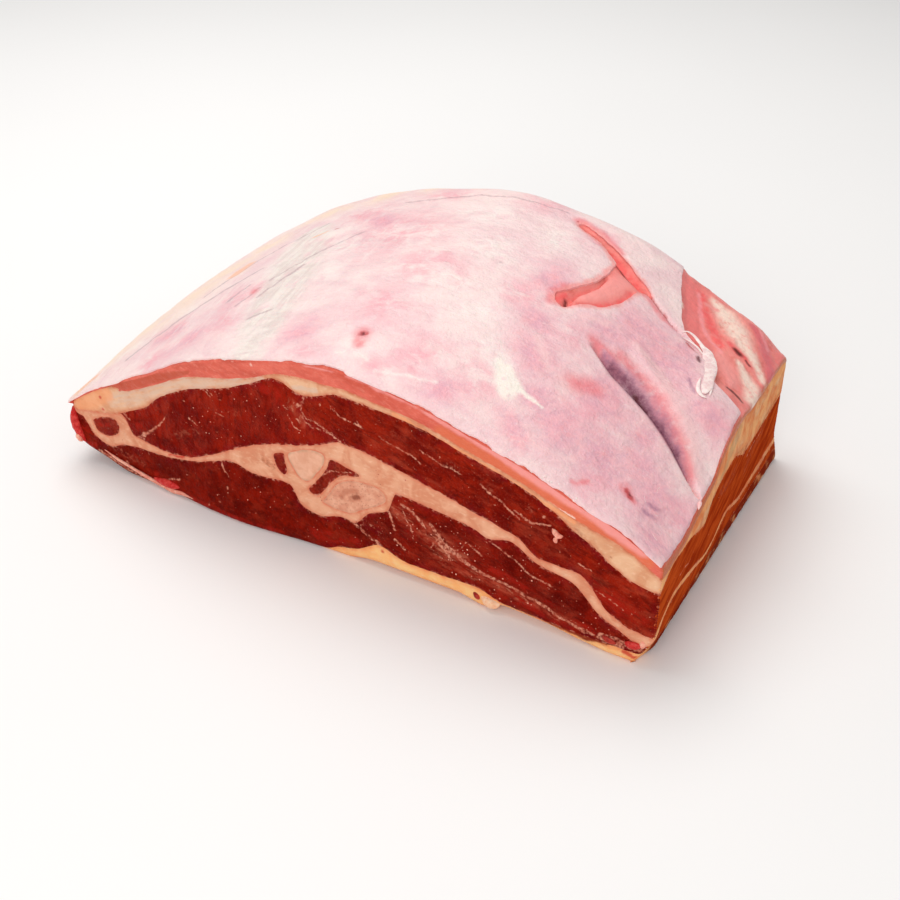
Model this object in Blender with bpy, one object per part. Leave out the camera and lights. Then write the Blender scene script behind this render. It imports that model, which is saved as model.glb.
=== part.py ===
"""A raw, bone-in joint of beef: a domed block with a saw-cut front and right side.

The joint is built as the layers that show on its cuts. Each layer lies between two lines
drawn across the front cut, which are carried back through the meat, so that the same bands
come out on every side. Bones and the small muscles beside them run through the fat seam.

Everything is in metres. The joint rests on z = 0, its front cut faces -Y, its long side
runs along X, and the origin is under the middle of its box. A place in the meat is given
as u, its X at the front cut, v, its share of the depth from front to back, and a height.
"""

import math

import bmesh
import bpy
import numpy as np

# Colours of the parts
MEMBRANE = (0.83, 0.52, 0.55)
FAT = (0.86, 0.56, 0.38)
LEAN = (0.26, 0.02, 0.012)
BONE = (0.72, 0.48, 0.33)
CARTILAGE_WHITE = (0.80, 0.62, 0.50)
TOOL_GREY = (0.5, 0.5, 0.5)
ROUGHNESS = 0.5

# Driving sizes
HALF_LENGTH = 0.13275
FRONT_Y = -0.072
DEPTH = 0.148
GAP = 0.0003  # between two pieces that touch

# The domed top: its outline at the front cut and along the back rim, as (x, z)
CROWN_FRONT = [
    (-0.133, 0.027), (-0.117, 0.038), (-0.103, 0.0455), (-0.084, 0.055), (-0.065, 0.0655),
    (-0.047, 0.072), (-0.030, 0.0775), (-0.009, 0.082), (0.008, 0.0835), (0.022, 0.082),
    (0.041, 0.079), (0.061, 0.0735), (0.081, 0.068), (0.101, 0.0605), (0.116, 0.0555),
    (0.133, 0.046),
]
CROWN_BACK = [
    (-0.133, 0.043), (-0.110, 0.0595), (-0.085, 0.0735), (-0.058, 0.085), (-0.030, 0.0925),
    (0.007, 0.098), (0.035, 0.0945), (0.062, 0.0885), (0.084, 0.079), (0.103, 0.0695),
    (0.121, 0.0615), (0.133, 0.054),
]
DOME_RISE = 2.8  # how fast the top climbs behind the front cut
# The upper edge of the right cut, as (y, z), and how far from it the top bends to meet it
RIGHT_RIM = [
    (-0.072, 0.046), (-0.051, 0.043), (-0.033, 0.046), (-0.020, 0.048), (-0.010, 0.055),
    (0.002, 0.059), (0.012, 0.0595), (0.026, 0.0565), (0.045, 0.056), (0.076, 0.0535),
]
RIGHT_RIM_REACH = 0.045
# The back and left rims are rounded, the left one from this share of the depth on
RIM_RADIUS = 0.009
RIM_DROP = 0.005
LEFT_RIM_START = 0.15

# The underside is flat, but lifted at the left tip and hollowed a little under the front cut
TIP_LIFT = [(-0.133, 0.014), (-0.128, 0.008), (-0.115, 0.004), (-0.100, 0.0), (0.133, 0.0)]
TIP_LIFT_LOST = 0.4  # share of that lift which is gone at the back
FRONT_LIFT = [
    (0.008, 0.0), (0.020, 0.002), (0.055, 0.002), (0.066, 0.0), (0.075, 0.0035),
    (0.090, 0.003), (0.105, 0.001), (0.118, 0.0),
]
FRONT_LIFT_DEPTH = 0.016

# The right cut leans in towards the back, and its foot is undercut, most at the front corner
RIGHT_LEAN = 0.0055
RIGHT_UNDERCUT = 0.0032
UNDERCUT_HEIGHT = 0.015
CORNER_UNDERCUT = 0.003
CORNER_UNDERCUT_DEPTH = 0.012
# The back left corner is drawn in from this share of the depth on
LEFT_CORNER = 0.010
LEFT_CORNER_START = 0.85
LEFT_CORNER_REACH = 0.04
# The lower muscle swells out of the front cut, up to this share of the depth behind it
SWELL = 0.004
SWELL_X = -0.045
SWELL_WIDTH = 0.032
SWELL_HEIGHT = 0.030
SWELL_END = 0.2
# The muscles drift to the right as they run back
DRIFT = 0.010

# How deep under the top the covering sheet and the fat cap end, as (x, depth)
SHEET_DEPTH = [
    (-0.133, 0.0012), (-0.105, 0.0015), (-0.097, 0.0058), (-0.065, 0.007), (-0.035, 0.0092),
    (-0.020, 0.0068), (0.008, 0.008), (0.045, 0.0075), (0.100, 0.0075), (0.120, 0.006),
    (0.133, 0.003),
]
CAP_DEPTH = [
    (-0.133, 0.0030), (-0.117, 0.0115), (-0.105, 0.015), (-0.090, 0.0155), (-0.078, 0.0125),
    (-0.050, 0.013), (-0.035, 0.0118), (-0.022, 0.0088), (-0.008, 0.0145), (0.006, 0.0115),
    (0.020, 0.0104), (0.050, 0.0094), (0.075, 0.0094), (0.092, 0.0105), (0.105, 0.0135),
    (0.118, 0.0148), (0.133, 0.012),
]
# The seam of fat between the upper and lower muscles, as (x, z) at the front cut
SEAM_TOP = [
    (-0.103, 0.029), (-0.096, 0.0215), (-0.080, 0.0195), (-0.067, 0.021), (-0.050, 0.029),
    (-0.032, 0.0385), (-0.004, 0.0475), (0.007, 0.052), (0.031, 0.049), (0.063, 0.0415),
    (0.079, 0.0375), (0.089, 0.0315), (0.103, 0.031), (0.115, 0.0205), (0.124, 0.016),
    (0.133, 0.0155),
]
SEAM_BOTTOM = [
    (-0.133, 0.0225), (-0.125, 0.0225), (-0.119, 0.0145), (-0.112, 0.0115), (-0.100, 0.0155),
    (-0.082, 0.0168), (-0.062, 0.021), (-0.045, 0.0262), (-0.035, 0.0245), (-0.018, 0.0255),
    (-0.012, 0.0175), (-0.004, 0.0158), (0.006, 0.0185), (0.011, 0.0178), (0.0185, 0.0248),
    (0.0265, 0.029), (0.0305, 0.038), (0.042, 0.037), (0.062, 0.0345), (0.068, 0.0325),
    (0.076, 0.0345), (0.088, 0.0287), (0.100, 0.0265), (0.112, 0.0175), (0.126, 0.009),
    (0.133, 0.008),
]
# The strip of fat along the bottom, from its thin end to the right cut
FLOOR_FAT_START = -0.006
FLOOR_FAT = [
    (-0.006, 0.0014), (0.012, 0.0055), (0.0225, 0.0112), (0.036, 0.0075), (0.064, 0.008),
    (0.075, 0.0052), (0.090, 0.0045), (0.110, 0.0045), (0.133, 0.0052),
]
# The same lines along the right cut, as (y, z), and how far from it they bend to meet it
RIGHT_CAP = [
    (-0.072, 0.034), (-0.060, 0.0385), (-0.043, 0.037), (-0.024, 0.0315), (-0.016, 0.038),
    (0.006, 0.041), (0.023, 0.034), (0.076, 0.032),
]
RIGHT_SEAM = [
    (-0.072, 0.0118), (-0.063, 0.019), (-0.055, 0.0215), (-0.037, 0.018), (-0.014, 0.012),
    (0.006, 0.016), (0.026, 0.011), (0.076, 0.010),
]
RIGHT_REACH = 0.028
RIGHT_SHEET = 0.004
RIGHT_SEAM_THICKNESS = 0.002
CORNER_SEAM_EXTRA = 0.005
CORNER_SEAM_END = 0.06

# Where two muscles meet, as (share of the layer's height, x)
UPPER_SPLIT = [(0.0, 0.0078), (0.2, 0.0032), (0.42, -0.006), (0.65, -0.0097), (1.0, -0.0077)]
LOWER_SPLIT = [(0.0, 0.0205), (0.4, 0.0215), (0.75, 0.0165), (1.0, 0.0095)]
UPPER_START = -0.103  # left of it the fat cap lies straight on the seam

# Outlines of what runs through the seam, as (x, z) at the front cut
CARTILAGE = [
    (-0.0172, 0.0392), (-0.0115, 0.0428), (-0.0055, 0.0447), (-0.0012, 0.0440),
    (-0.0012, 0.0405), (-0.0045, 0.0350), (-0.0085, 0.0302), (-0.0118, 0.0300),
    (-0.0160, 0.0345),
]
MARROW_BONE = [
    (-0.0010, 0.0250), (0.0040, 0.0325), (0.0095, 0.0362), (0.0160, 0.0377),
    (0.0235, 0.0372), (0.0258, 0.0335), (0.0225, 0.0298), (0.0155, 0.0255),
    (0.0100, 0.0218), (0.0030, 0.0213), (-0.0022, 0.0225),
]
SMALL_SEAM_LEAN = [
    (-0.0245, 0.0365), (-0.0198, 0.0388), (-0.0192, 0.0355), (-0.0186, 0.0315),
    (-0.0200, 0.0288), (-0.0228, 0.0305),
]
LARGE_SEAM_LEAN = [
    (0.0022, 0.0432), (0.0082, 0.0422), (0.0142, 0.0408), (0.0132, 0.0394), (0.0070, 0.0378),
    (0.0022, 0.0335), (-0.0018, 0.0280), (-0.0052, 0.0245), (-0.0086, 0.0262),
    (-0.0052, 0.0308), (-0.0004, 0.0375),
]
EYE_LEAN = [
    (-0.1185, 0.0218), (-0.1135, 0.0250), (-0.1070, 0.0265), (-0.1042, 0.0240),
    (-0.1055, 0.0195), (-0.1105, 0.0167), (-0.1162, 0.0172),
]

# Folds in the covering sheet: points (x, y) along each, its half width there, and its depth
CREASE = [
    (0.0740, -0.0055, 0.0012), (0.0860, -0.0112, 0.0030), (0.0937, -0.0129, 0.0034),
    (0.1020, -0.0153, 0.0034), (0.1107, -0.0186, 0.0032), (0.1185, -0.0237, 0.0028),
    (0.1252, -0.0291, 0.0020), (0.1290, -0.0320, 0.0010),
]
CREASE_DEPTH = 0.0040
SLIT = [
    (0.0365, 0.0640, 0.0010), (0.0490, 0.0570, 0.0026), (0.0575, 0.0515, 0.0026),
    (0.0660, 0.0460, 0.0030), (0.0765, 0.0395, 0.0018), (0.0866, 0.0347, 0.0013),
    (0.0958, 0.0302, 0.0013), (0.1060, 0.0225, 0.0008),
]
SLIT_DEPTH = 0.0024
POCKET = [
    (0.0575, 0.0075, 0.0012), (0.0605, 0.0170, 0.0032), (0.0655, 0.0255, 0.0042),
    (0.0705, 0.0330, 0.0030), (0.0735, 0.0370, 0.0010),
]
POCKET_DEPTH = 0.0022
FOLD_SIDES = 8
FULL_FOLD = 0.0025  # the half width from which a fold has its whole depth

# Where the sheet is missing at the back right: its edge, as (share of the depth, x)
BARE_EDGE = [
    (0.545, 0.134), (0.562, 0.1250), (0.575, 0.1185), (0.61, 0.1145), (0.685, 0.1040),
    (0.715, 0.0958), (0.81, 0.0886), (0.92, 0.0816), (1.0, 0.0780),
]
BARE_DEPTH = 0.0018
BARE_ROWS = 9
BARE_COLUMNS = 5

# Stations from the front cut to the back cut, as shares of the depth
DEPTHS = [0.0, 0.07, 0.16, 0.30, 0.45, 0.60, 0.76, 0.90, 0.96, 1.0]
# Stations from left to right: close together at the tip, then even steps
TIP_COLUMNS = [-HALF_LENGTH, -0.1305, -0.127]
LEFT_START = -0.121
LEFT_STEP = 0.0085
MAIN_START = -0.05
MAIN_STEP = 0.0075
LEAST_STEP = 0.001
# Heights at which a divider follows its split, as shares of the layer's height
SPLIT_STATIONS = [-0.3, 0.0, 0.15, 0.3, 0.45, 0.6, 0.8, 1.0, 1.3]
# How far cutters reach past the joint
OVERRUN = 0.05
SIDE_OVERRUN = 0.004
CLEAR_ABOVE = 0.2
CLEAR_BELOW = -0.1
FLAT_WALL_SLOPE = 0.3  # a face whose normal has less Z than this is a cut, shaded flat


def smooth_line(points):
    """A smooth line through (place, value) points that never overshoots them."""
    places = [point[0] for point in points]
    values = [point[1] for point in points]
    rises = np.diff(values) / np.diff(places)
    slopes = [rises[0]]
    for before, after in zip(rises, rises[1:]):
        slopes.append(2 * before * after / (before + after) if before * after > 0 else 0.0)
    slopes.append(rises[-1])

    def value_at(where):
        where = min(max(where, places[0]), places[-1])
        i = min(max(int(np.searchsorted(places, where)) - 1, 0), len(places) - 2)
        span = places[i + 1] - places[i]
        t = (where - places[i]) / span
        keep = (1 + 2 * t) * (1 - t) ** 2
        bend = t * (1 - t) ** 2 * slopes[i] - t * t * (1 - t) * slopes[i + 1]
        return keep * values[i] + (1 - keep) * values[i + 1] + bend * span

    return value_at


def ramp(value, start, stop):
    """0 before start, 1 after stop, with a soft rise between."""
    t = min(max((value - start) / (stop - start), 0.0), 1.0)
    return t * t * (3 - 2 * t)


def edge_round(distance):
    """The share of the rim's drop at a distance inside the rim: a quarter of a circle."""
    s = min(max(distance / RIM_RADIUS, 0.0), 1.0)
    return 1 - math.sqrt(1 - (1 - s) ** 2)


crown_front = smooth_line(CROWN_FRONT)
crown_back = smooth_line(CROWN_BACK)
right_rim = smooth_line(RIGHT_RIM)
tip_lift = smooth_line(TIP_LIFT)
front_lift = smooth_line(FRONT_LIFT)
sheet_depth = smooth_line(SHEET_DEPTH)
cap_depth = smooth_line(CAP_DEPTH)
seam_top_front = smooth_line(SEAM_TOP)
seam_bottom_front = smooth_line(SEAM_BOTTOM)
floor_fat_front = smooth_line(FLOOR_FAT)
right_cap = smooth_line(RIGHT_CAP)
right_seam = smooth_line(RIGHT_SEAM)
upper_split = smooth_line(UPPER_SPLIT)
lower_split = smooth_line(LOWER_SPLIT)
bare_edge = smooth_line(BARE_EDGE)


def near_right(u, reach):
    """0 until reach before the right cut, and 1 at it."""
    return ramp(u, HALF_LENGTH - reach, HALF_LENGTH)


def dome(u, v):
    """Height of the top before its right edge and its rims are shaped."""
    return crown_front(u) + (crown_back(u) - crown_front(u)) * (1 - (1 - v) ** DOME_RISE)


def crown(u, v):
    """Height of the top at u along the front and share v of the depth."""
    to_rim = right_rim(FRONT_Y + DEPTH * v) - dome(HALF_LENGTH, v)
    z = dome(u, v) + to_rim * near_right(u, RIGHT_RIM_REACH)
    back = edge_round(DEPTH * (1 - v))
    left = edge_round(u + HALF_LENGTH) * ramp(v, 0.0, LEFT_RIM_START)
    return z - RIM_DROP * max(back, left)


def under(u, v):
    """Height of the underside."""
    near_front = 1 - ramp(DEPTH * v, 0.0, FRONT_LIFT_DEPTH)
    return tip_lift(u) * (1 - TIP_LIFT_LOST * v) + front_lift(u) * near_front


def carried(front_line, u, v):
    """A front line carried back at the same share of the joint's height."""
    share = (front_line(u) - under(u, 0)) / (crown(u, 0) - under(u, 0))
    return under(u, v) + share * (crown(u, v) - under(u, v))


def towards_right(u, front_value, right_value):
    """Moves from the front cut's line to the right cut's line near that side."""
    return front_value + (right_value - front_value) * near_right(u, RIGHT_REACH)


def right_seam_edge(v, side):
    """Height of the seam's upper (1) or lower (-1) edge on the right cut."""
    thickness = RIGHT_SEAM_THICKNESS + CORNER_SEAM_EXTRA * (1 - ramp(v, 0.0, CORNER_SEAM_END))
    return right_seam(FRONT_Y + DEPTH * v) + side * thickness / 2


def sheet_bottom(u, v):
    return crown(u, v) - towards_right(u, sheet_depth(u), RIGHT_SHEET)


def cap_bottom(u, v):
    return towards_right(u, crown(u, v) - cap_depth(u), right_cap(FRONT_Y + DEPTH * v))


def seam_top(u, v):
    return towards_right(u, carried(seam_top_front, u, v), right_seam_edge(v, 1))


def seam_bottom(u, v):
    return towards_right(u, carried(seam_bottom_front, u, v), right_seam_edge(v, -1))


def floor_fat_top(u, v):
    return carried(floor_fat_front, u, v)


def place(u, v, z):
    """The point at u along the front, share v of the depth and height z."""
    low, high = under(u, v), crown(u, v)
    share = min(max((z - low) / (high - low), 0.0), 1.0)
    middle = 1 - (u / HALF_LENGTH) ** 2
    x = u + DRIFT * v * middle * 4 * share * (1 - share)
    above_foot = ramp(z, 0.0, UNDERCUT_HEIGHT)
    corner = 1 - ramp(DEPTH * v, 0.0, CORNER_UNDERCUT_DEPTH)
    undercut = RIGHT_UNDERCUT + CORNER_UNDERCUT * corner
    inset = undercut + (RIGHT_LEAN * v - undercut) * above_foot
    x -= inset * near_right(u, RIGHT_REACH)
    near_left = ramp(-u, HALF_LENGTH - LEFT_CORNER_REACH, HALF_LENGTH)
    x += LEFT_CORNER * ramp(v, LEFT_CORNER_START, 1.0) * near_left
    across = math.exp(-(((u - SWELL_X) / SWELL_WIDTH) ** 2))
    hump = across * (1 - ramp(z, 0.0, SWELL_HEIGHT)) * (1 - ramp(v, 0.0, SWELL_END))
    return (x, FRONT_Y + DEPTH * v - SWELL * hump, z)


def overrun_place(u, v, z):
    """The same, for a share v that may lie in front of or behind the joint."""
    inside = min(max(v, 0.0), 1.0)
    x, y, z = place(u, inside, z)
    return (x, y + (v - inside) * DEPTH, z)


def spread(start, stop, step):
    """Evenly spaced values from start up to, but without, stop, about a step apart."""
    count = max(1, round((stop - start) / step))
    return [start + (stop - start) * i / count for i in range(count)]


# Columns shared by all layers, so that two facing surfaces have the same facets
LEFT_COLUMNS = spread(LEFT_START, MAIN_START, LEFT_STEP)
MAIN_COLUMNS = spread(MAIN_START, HALF_LENGTH, MAIN_STEP)
COLUMNS = TIP_COLUMNS + LEFT_COLUMNS + MAIN_COLUMNS + [HALF_LENGTH]


def split_cells(values, parts):
    """The values with each step between them divided into parts."""
    steps = [a + (b - a) * k / parts for a, b in zip(values, values[1:]) for k in range(parts)]
    return steps + [values[-1]]


def object_from(name, points, faces, colour):
    """An object from points and faces, with its own plain material."""
    mesh = bpy.data.meshes.new(name)
    shape = bmesh.new()
    corners = [shape.verts.new(point) for point in points]
    for face in faces:
        shape.faces.new([corners[i] for i in face])
    many_sided = [face for face in shape.faces if len(face.verts) > 4]
    bmesh.ops.triangulate(shape, faces=many_sided)
    shape.to_mesh(mesh)
    shape.free()
    material = bpy.data.materials.new(name)
    material.use_nodes = True
    shader = material.node_tree.nodes["Principled BSDF"]
    shader.inputs["Base Color"].default_value = (*colour, 1)
    shader.inputs["Roughness"].default_value = ROUGHNESS
    material.diffuse_color = (*colour, 1)
    mesh.materials.append(material)
    for polygon in mesh.polygons:
        polygon.use_smooth = abs(polygon.normal.z) > FLAT_WALL_SLOPE
    piece = bpy.data.objects.new(name, mesh)
    bpy.context.scene.collection.objects.link(piece)
    return piece


def layer(name, low, high, colour, start=-HALF_LENGTH, step_at=None, finer=1):
    """A closed layer between two height functions, from start to the right cut.

    step_at is where one of its surfaces steps to the line of another neighbour.

    finer divides each cell of its top. Every cell is cut along the same diagonal, so that
    surfaces that face each other stay parallel.
    """
    columns = [start] + [u for u in COLUMNS if u > start + LEAST_STEP]
    if step_at is not None:
        columns = [u for u in columns if abs(u - step_at) > LEAST_STEP]
        columns = sorted(columns + [step_at - GAP, step_at])
    points, index = [], {}

    def corner(level, u, v):
        key = (level, round(u, 7), round(v, 7))
        if key not in index:
            index[key] = len(points)
            points.append(place(u, v, level(u, v)))
        return index[key]

    faces = []
    for level, parts, turn in ((high, finer, 1), (low, 1, -1)):
        along, across = split_cells(columns, parts), split_cells(DEPTHS, parts)
        for a, b in zip(along, along[1:]):
            for c, d in zip(across, across[1:]):
                ring = [corner(level, u, v) for u, v in ((a, c), (b, c), (b, d), (a, d))]
                faces.append([ring[0], ring[1], ring[2]][::turn])
                faces.append([ring[0], ring[2], ring[3]][::turn])
    for a, b in zip(columns, columns[1:]):
        for v, turn in ((0.0, 1), (1.0, -1)):
            edge = [corner(high, u, v) for u in reversed(split_cells([a, b], finer))]
            faces.append(([corner(low, a, v), corner(low, b, v)] + edge)[::turn])
    for a, b in zip(DEPTHS, DEPTHS[1:]):
        for u, turn in ((start, -1), (HALF_LENGTH, 1)):
            edge = [corner(high, u, v) for v in reversed(split_cells([a, b], finer))]
            faces.append(([corner(low, u, a), corner(low, u, b)] + edge)[::turn])
    return object_from(name, points, faces, colour)


def swept(name, rings, colour):
    """A closed piece through rings of points, anticlockwise seen from the first ring's side."""
    sides = len(rings[0])
    points = [point for ring in rings for point in ring]
    last = (len(rings) - 1) * sides
    faces = [list(range(sides)), [last + i for i in reversed(range(sides))]]
    for k in range(len(rings) - 1):
        for i in range(sides):
            a, b = k * sides + i, k * sides + (i + 1) % sides
            faces.append([a, a + sides, b + sides])
            faces.append([a, b + sides, b])
    return object_from(name, points, faces, colour)


def closed_outline(points, sides, grow):
    """A smooth closed outline through (x, z) points, moved outwards by grow."""
    count = len(points)
    ring = []
    for k in range(sides):
        i, t = divmod(k * count / sides, 1)
        a, b, c, d = (np.array(points[(int(i) + n) % count]) for n in (-1, 0, 1, 2))
        bend = (2 * a - 5 * b + 4 * c - d) * t**2 + (3 * b - a - 3 * c + d) * t**3
        ring.append(0.5 * (2 * b + (c - a) * t + bend))
    ring = np.array(ring)
    along = np.roll(ring, -1, axis=0) - np.roll(ring, 1, axis=0)
    outward = np.stack([-along[:, 1], along[:, 0]], axis=1)
    return ring + outward / np.linalg.norm(outward, axis=1)[:, None] * grow


def carried_point(x, z, v):
    """The point of the front cut at x and z, carried back to share v of the depth."""
    inside = min(max(v, 0.0), 1.0)
    share = (z - under(x, 0)) / (crown(x, 0) - under(x, 0))
    height = under(x, inside) + share * (crown(x, inside) - under(x, inside))
    return overrun_place(x, v, height)


def through_piece(name, outline, sides, colour, grow=0.0, overrun=0.0):
    """A piece with this clockwise outline at the front cut that runs back through the joint."""
    depths = [-overrun] + DEPTHS + [1.0 + overrun] if overrun else DEPTHS
    ring = closed_outline(outline, sides, grow)[::-1]
    rings = [[carried_point(x, z, v) for x, z in ring] for v in depths]
    return swept(name, rings, colour)


def as_tool(piece):
    """Marks a piece as no part of the joint, which only cuts it."""
    piece.hide_render = True
    piece.display_type = "WIRE"
    piece.hide_set(True)
    return piece


def cut(body, tool):
    """Takes the tool's shape out of the body."""
    boolean = body.modifiers.new("cut by " + tool.name, "BOOLEAN")
    boolean.operation = "DIFFERENCE"
    boolean.solver = "EXACT"
    boolean.object = tool


def divider(name, split, low, high, side):
    """Everything on one side of the line where two muscles of a layer meet.

    side is 1 for the right of the line and -1 for its left.
    """
    far_x = side * 2 * HALF_LENGTH
    rings = []
    for v in [-OVERRUN] + DEPTHS + [1.0 + OVERRUN]:
        inside = min(max(v, 0.0), 1.0)
        ring = []
        for t in SPLIT_STATIONS:
            u = split(t) - side * GAP / 2
            z = low(u, inside) + t * (high(u, inside) - low(u, inside))
            ring.append(overrun_place(u, v, z))
        (low_x, row_y, _), (high_x, _, _) = ring[0], ring[-1]
        ring += [(high_x, row_y, CLEAR_ABOVE), (far_x, row_y, CLEAR_ABOVE)]
        ring += [(far_x, row_y, CLEAR_BELOW), (low_x, row_y, CLEAR_BELOW)]
        rings.append(ring[::-side])
    return as_tool(swept(name, rings, TOOL_GREY))


def fold(name, line, depth):
    """A tool that opens a fold along a line of (x, y, half width) on the top."""
    rings = []
    for i, (x, y, half_width) in enumerate(line):
        before, after = line[max(i - 1, 0)], line[min(i + 1, len(line) - 1)]
        along = math.atan2(after[1] - before[1], after[0] - before[0])
        top = crown(x, (y - FRONT_Y) / DEPTH)
        deep = depth * min(1.0, half_width / FULL_FOLD)
        ring = []
        for k in range(FOLD_SIDES):
            angle = -2 * math.pi * k / FOLD_SIDES
            across, down = half_width * math.cos(angle), deep * math.sin(angle)
            ring.append((x - across * math.sin(along), y + across * math.cos(along), top + down))
        rings.append(ring)
    return as_tool(swept(name, rings, TOOL_GREY))


def bare_patch():
    """A tool that takes the skin of the sheet off its back right corner."""
    start = BARE_EDGE[0][0]
    stop = 1.0 + OVERRUN
    rings = []
    for row in range(BARE_ROWS + 1):
        v = start + (stop - start) * row / BARE_ROWS
        inside = min(v, 1.0)
        left = bare_edge(inside)
        floor = []
        for column in range(BARE_COLUMNS + 1):
            u = left + (HALF_LENGTH + SIDE_OVERRUN - left) * column / BARE_COLUMNS
            floor.append(overrun_place(u, v, crown(min(u, HALF_LENGTH), inside) - BARE_DEPTH))
        roof = [(x, y, CLEAR_ABOVE) for x, y, _ in (floor[-1], floor[0])]
        rings.append(floor + roof)
    return as_tool(swept("bare_patch", rings, TOOL_GREY))


def raised(level, amount):
    """The height function moved up by an amount."""
    return lambda u, v: level(u, v) + amount


def seam_roof(u, v):
    """The seam's upper face, which meets the fat cap left of the upper muscles."""
    level = cap_bottom if u < UPPER_START - GAP / 2 else seam_top
    return level(u, v) - GAP / 2


def lower_floor(u, v):
    """The lower muscles' underside, which rests on the floor fat right of its thin end."""
    if u < FLOOR_FAT_START - GAP / 2:
        return under(u, v)
    return floor_fat_top(u, v) + GAP / 2


def build_sheet():
    """The membrane and the thin red muscle under it, with its folds and its bare corner."""
    sheet = layer("cover_sheet", raised(sheet_bottom, GAP / 2), crown, MEMBRANE, finer=2)
    cut(sheet, fold("crease", CREASE, CREASE_DEPTH))
    cut(sheet, fold("slit", SLIT, SLIT_DEPTH))
    cut(sheet, fold("pocket", POCKET, POCKET_DEPTH))
    cut(sheet, bare_patch())


def build_muscles():
    """The upper and lower muscles: each layer made twice, and cut to one side of its split."""
    upper_low, upper_high = raised(seam_top, GAP / 2), raised(cap_bottom, -GAP / 2)
    lower_high = raised(seam_bottom, -GAP / 2)
    for side, place_name in ((1, "left"), (-1, "right")):
        name = "upper_lean_" + place_name
        upper = layer(name, upper_low, upper_high, LEAN, start=UPPER_START + GAP)
        cut(upper, divider(name + "_limit", upper_split, seam_top, cap_bottom, side))
        name = "lower_lean_" + place_name
        lower = layer(name, lower_floor, lower_high, LEAN, step_at=FLOOR_FAT_START)
        cut(lower, divider(name + "_limit", lower_split, floor_fat_top, seam_bottom, side))


def build_fat():
    """The fat cap, the seam and the floor fat. The seam is handed on for its tunnels."""
    layer("fat_cap", raised(cap_bottom, GAP / 2), raised(sheet_bottom, -GAP / 2), FAT)
    layer("floor_fat", under, raised(floor_fat_top, -GAP / 2), FAT, start=FLOOR_FAT_START)
    return layer("fat_seam", raised(seam_bottom, GAP / 2), seam_roof, FAT, step_at=UPPER_START)


def build_seam_pieces(seam):
    """The bones and small muscles in the fat seam, each in its own tunnel."""
    for name, outline, sides, colour in (
        ("cartilage", CARTILAGE, 12, CARTILAGE_WHITE),
        ("marrow_bone", MARROW_BONE, 14, BONE),
        ("seam_lean_small", SMALL_SEAM_LEAN, 9, LEAN),
        ("seam_lean_large", LARGE_SEAM_LEAN, 12, LEAN),
        ("eye_lean", EYE_LEAN, 11, LEAN),
    ):
        through_piece(name, outline, sides, colour)
        tunnel = through_piece(name + "_tunnel", outline, sides, TOOL_GREY, GAP, OVERRUN)
        cut(seam, as_tool(tunnel))


for old in list(bpy.data.objects):
    bpy.data.objects.remove(old, do_unlink=True)
build_sheet()
build_muscles()
build_seam_pieces(build_fat())
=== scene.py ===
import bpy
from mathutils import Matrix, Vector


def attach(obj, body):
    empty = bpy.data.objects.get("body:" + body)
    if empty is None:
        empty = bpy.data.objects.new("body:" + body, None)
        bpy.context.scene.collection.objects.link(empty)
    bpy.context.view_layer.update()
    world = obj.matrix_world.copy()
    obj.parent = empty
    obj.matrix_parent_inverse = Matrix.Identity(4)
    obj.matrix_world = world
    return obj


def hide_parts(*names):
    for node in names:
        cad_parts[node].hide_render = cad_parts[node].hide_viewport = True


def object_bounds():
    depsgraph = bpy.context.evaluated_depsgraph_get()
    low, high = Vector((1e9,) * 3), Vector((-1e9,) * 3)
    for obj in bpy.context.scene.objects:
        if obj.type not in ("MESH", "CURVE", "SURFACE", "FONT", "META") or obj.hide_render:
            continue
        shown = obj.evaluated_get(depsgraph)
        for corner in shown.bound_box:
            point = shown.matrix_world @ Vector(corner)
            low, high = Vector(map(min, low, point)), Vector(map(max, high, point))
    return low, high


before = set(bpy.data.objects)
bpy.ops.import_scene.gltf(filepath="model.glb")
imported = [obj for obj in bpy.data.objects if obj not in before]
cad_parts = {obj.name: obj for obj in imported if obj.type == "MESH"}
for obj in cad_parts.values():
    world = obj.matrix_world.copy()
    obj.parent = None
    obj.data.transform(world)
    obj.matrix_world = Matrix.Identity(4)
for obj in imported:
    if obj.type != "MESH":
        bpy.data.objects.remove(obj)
solid_low, solid_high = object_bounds()
print("solids:", ", ".join(sorted(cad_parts)))

# %% Modules and units
import itertools
import math

import bpy
import numpy as np
from mathutils import Matrix, Vector, kdtree
from mathutils.geometry import delaunay_2d_cdt

MM = 0.001


def path(text):
    """Points that are written as numbers, with commas between the points."""
    return [tuple(float(number) for number in point.split()) for point in text.split(",")]


def paths(text):
    """Lines of points, with semicolons between the lines."""
    return [path(line) for line in text.split(";")]


def in_mm(text):
    """Points that are written in millimetres, in metres."""
    return np.array(path(text)) * MM


print("a point at 25 and 40 mm:", in_mm("25 40")[0], "m")

# %% [markdown]
# The camera looks down on the front right corner with a normal lens, as a person standing at a
# table would. It is made first, so that any test render of a later step is framed the same way.
# %% Camera
CAMERA_PLACE = Vector((0.229336, -0.378657, 0.304117))
CAMERA_AIM = Vector((-0.413017, 0.718201, -0.560003))
CAMERA_LENS = 50.184


def add_camera():
    """The camera, turned so that its top side is up."""
    side = CAMERA_AIM.cross(Vector((0, 0, 1))).normalized()
    top = side.cross(CAMERA_AIM).normalized()
    lens = bpy.data.cameras.new("camera")
    lens.lens = CAMERA_LENS
    camera = bpy.data.objects.new("camera", lens)
    turned = Matrix((side, top, -CAMERA_AIM)).transposed().to_4x4()
    camera.matrix_world = Matrix.Translation(CAMERA_PLACE) @ turned
    bpy.context.scene.collection.objects.link(camera)
    bpy.context.scene.camera = camera


add_camera()
print("camera lens", CAMERA_LENS, "mm")

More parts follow.
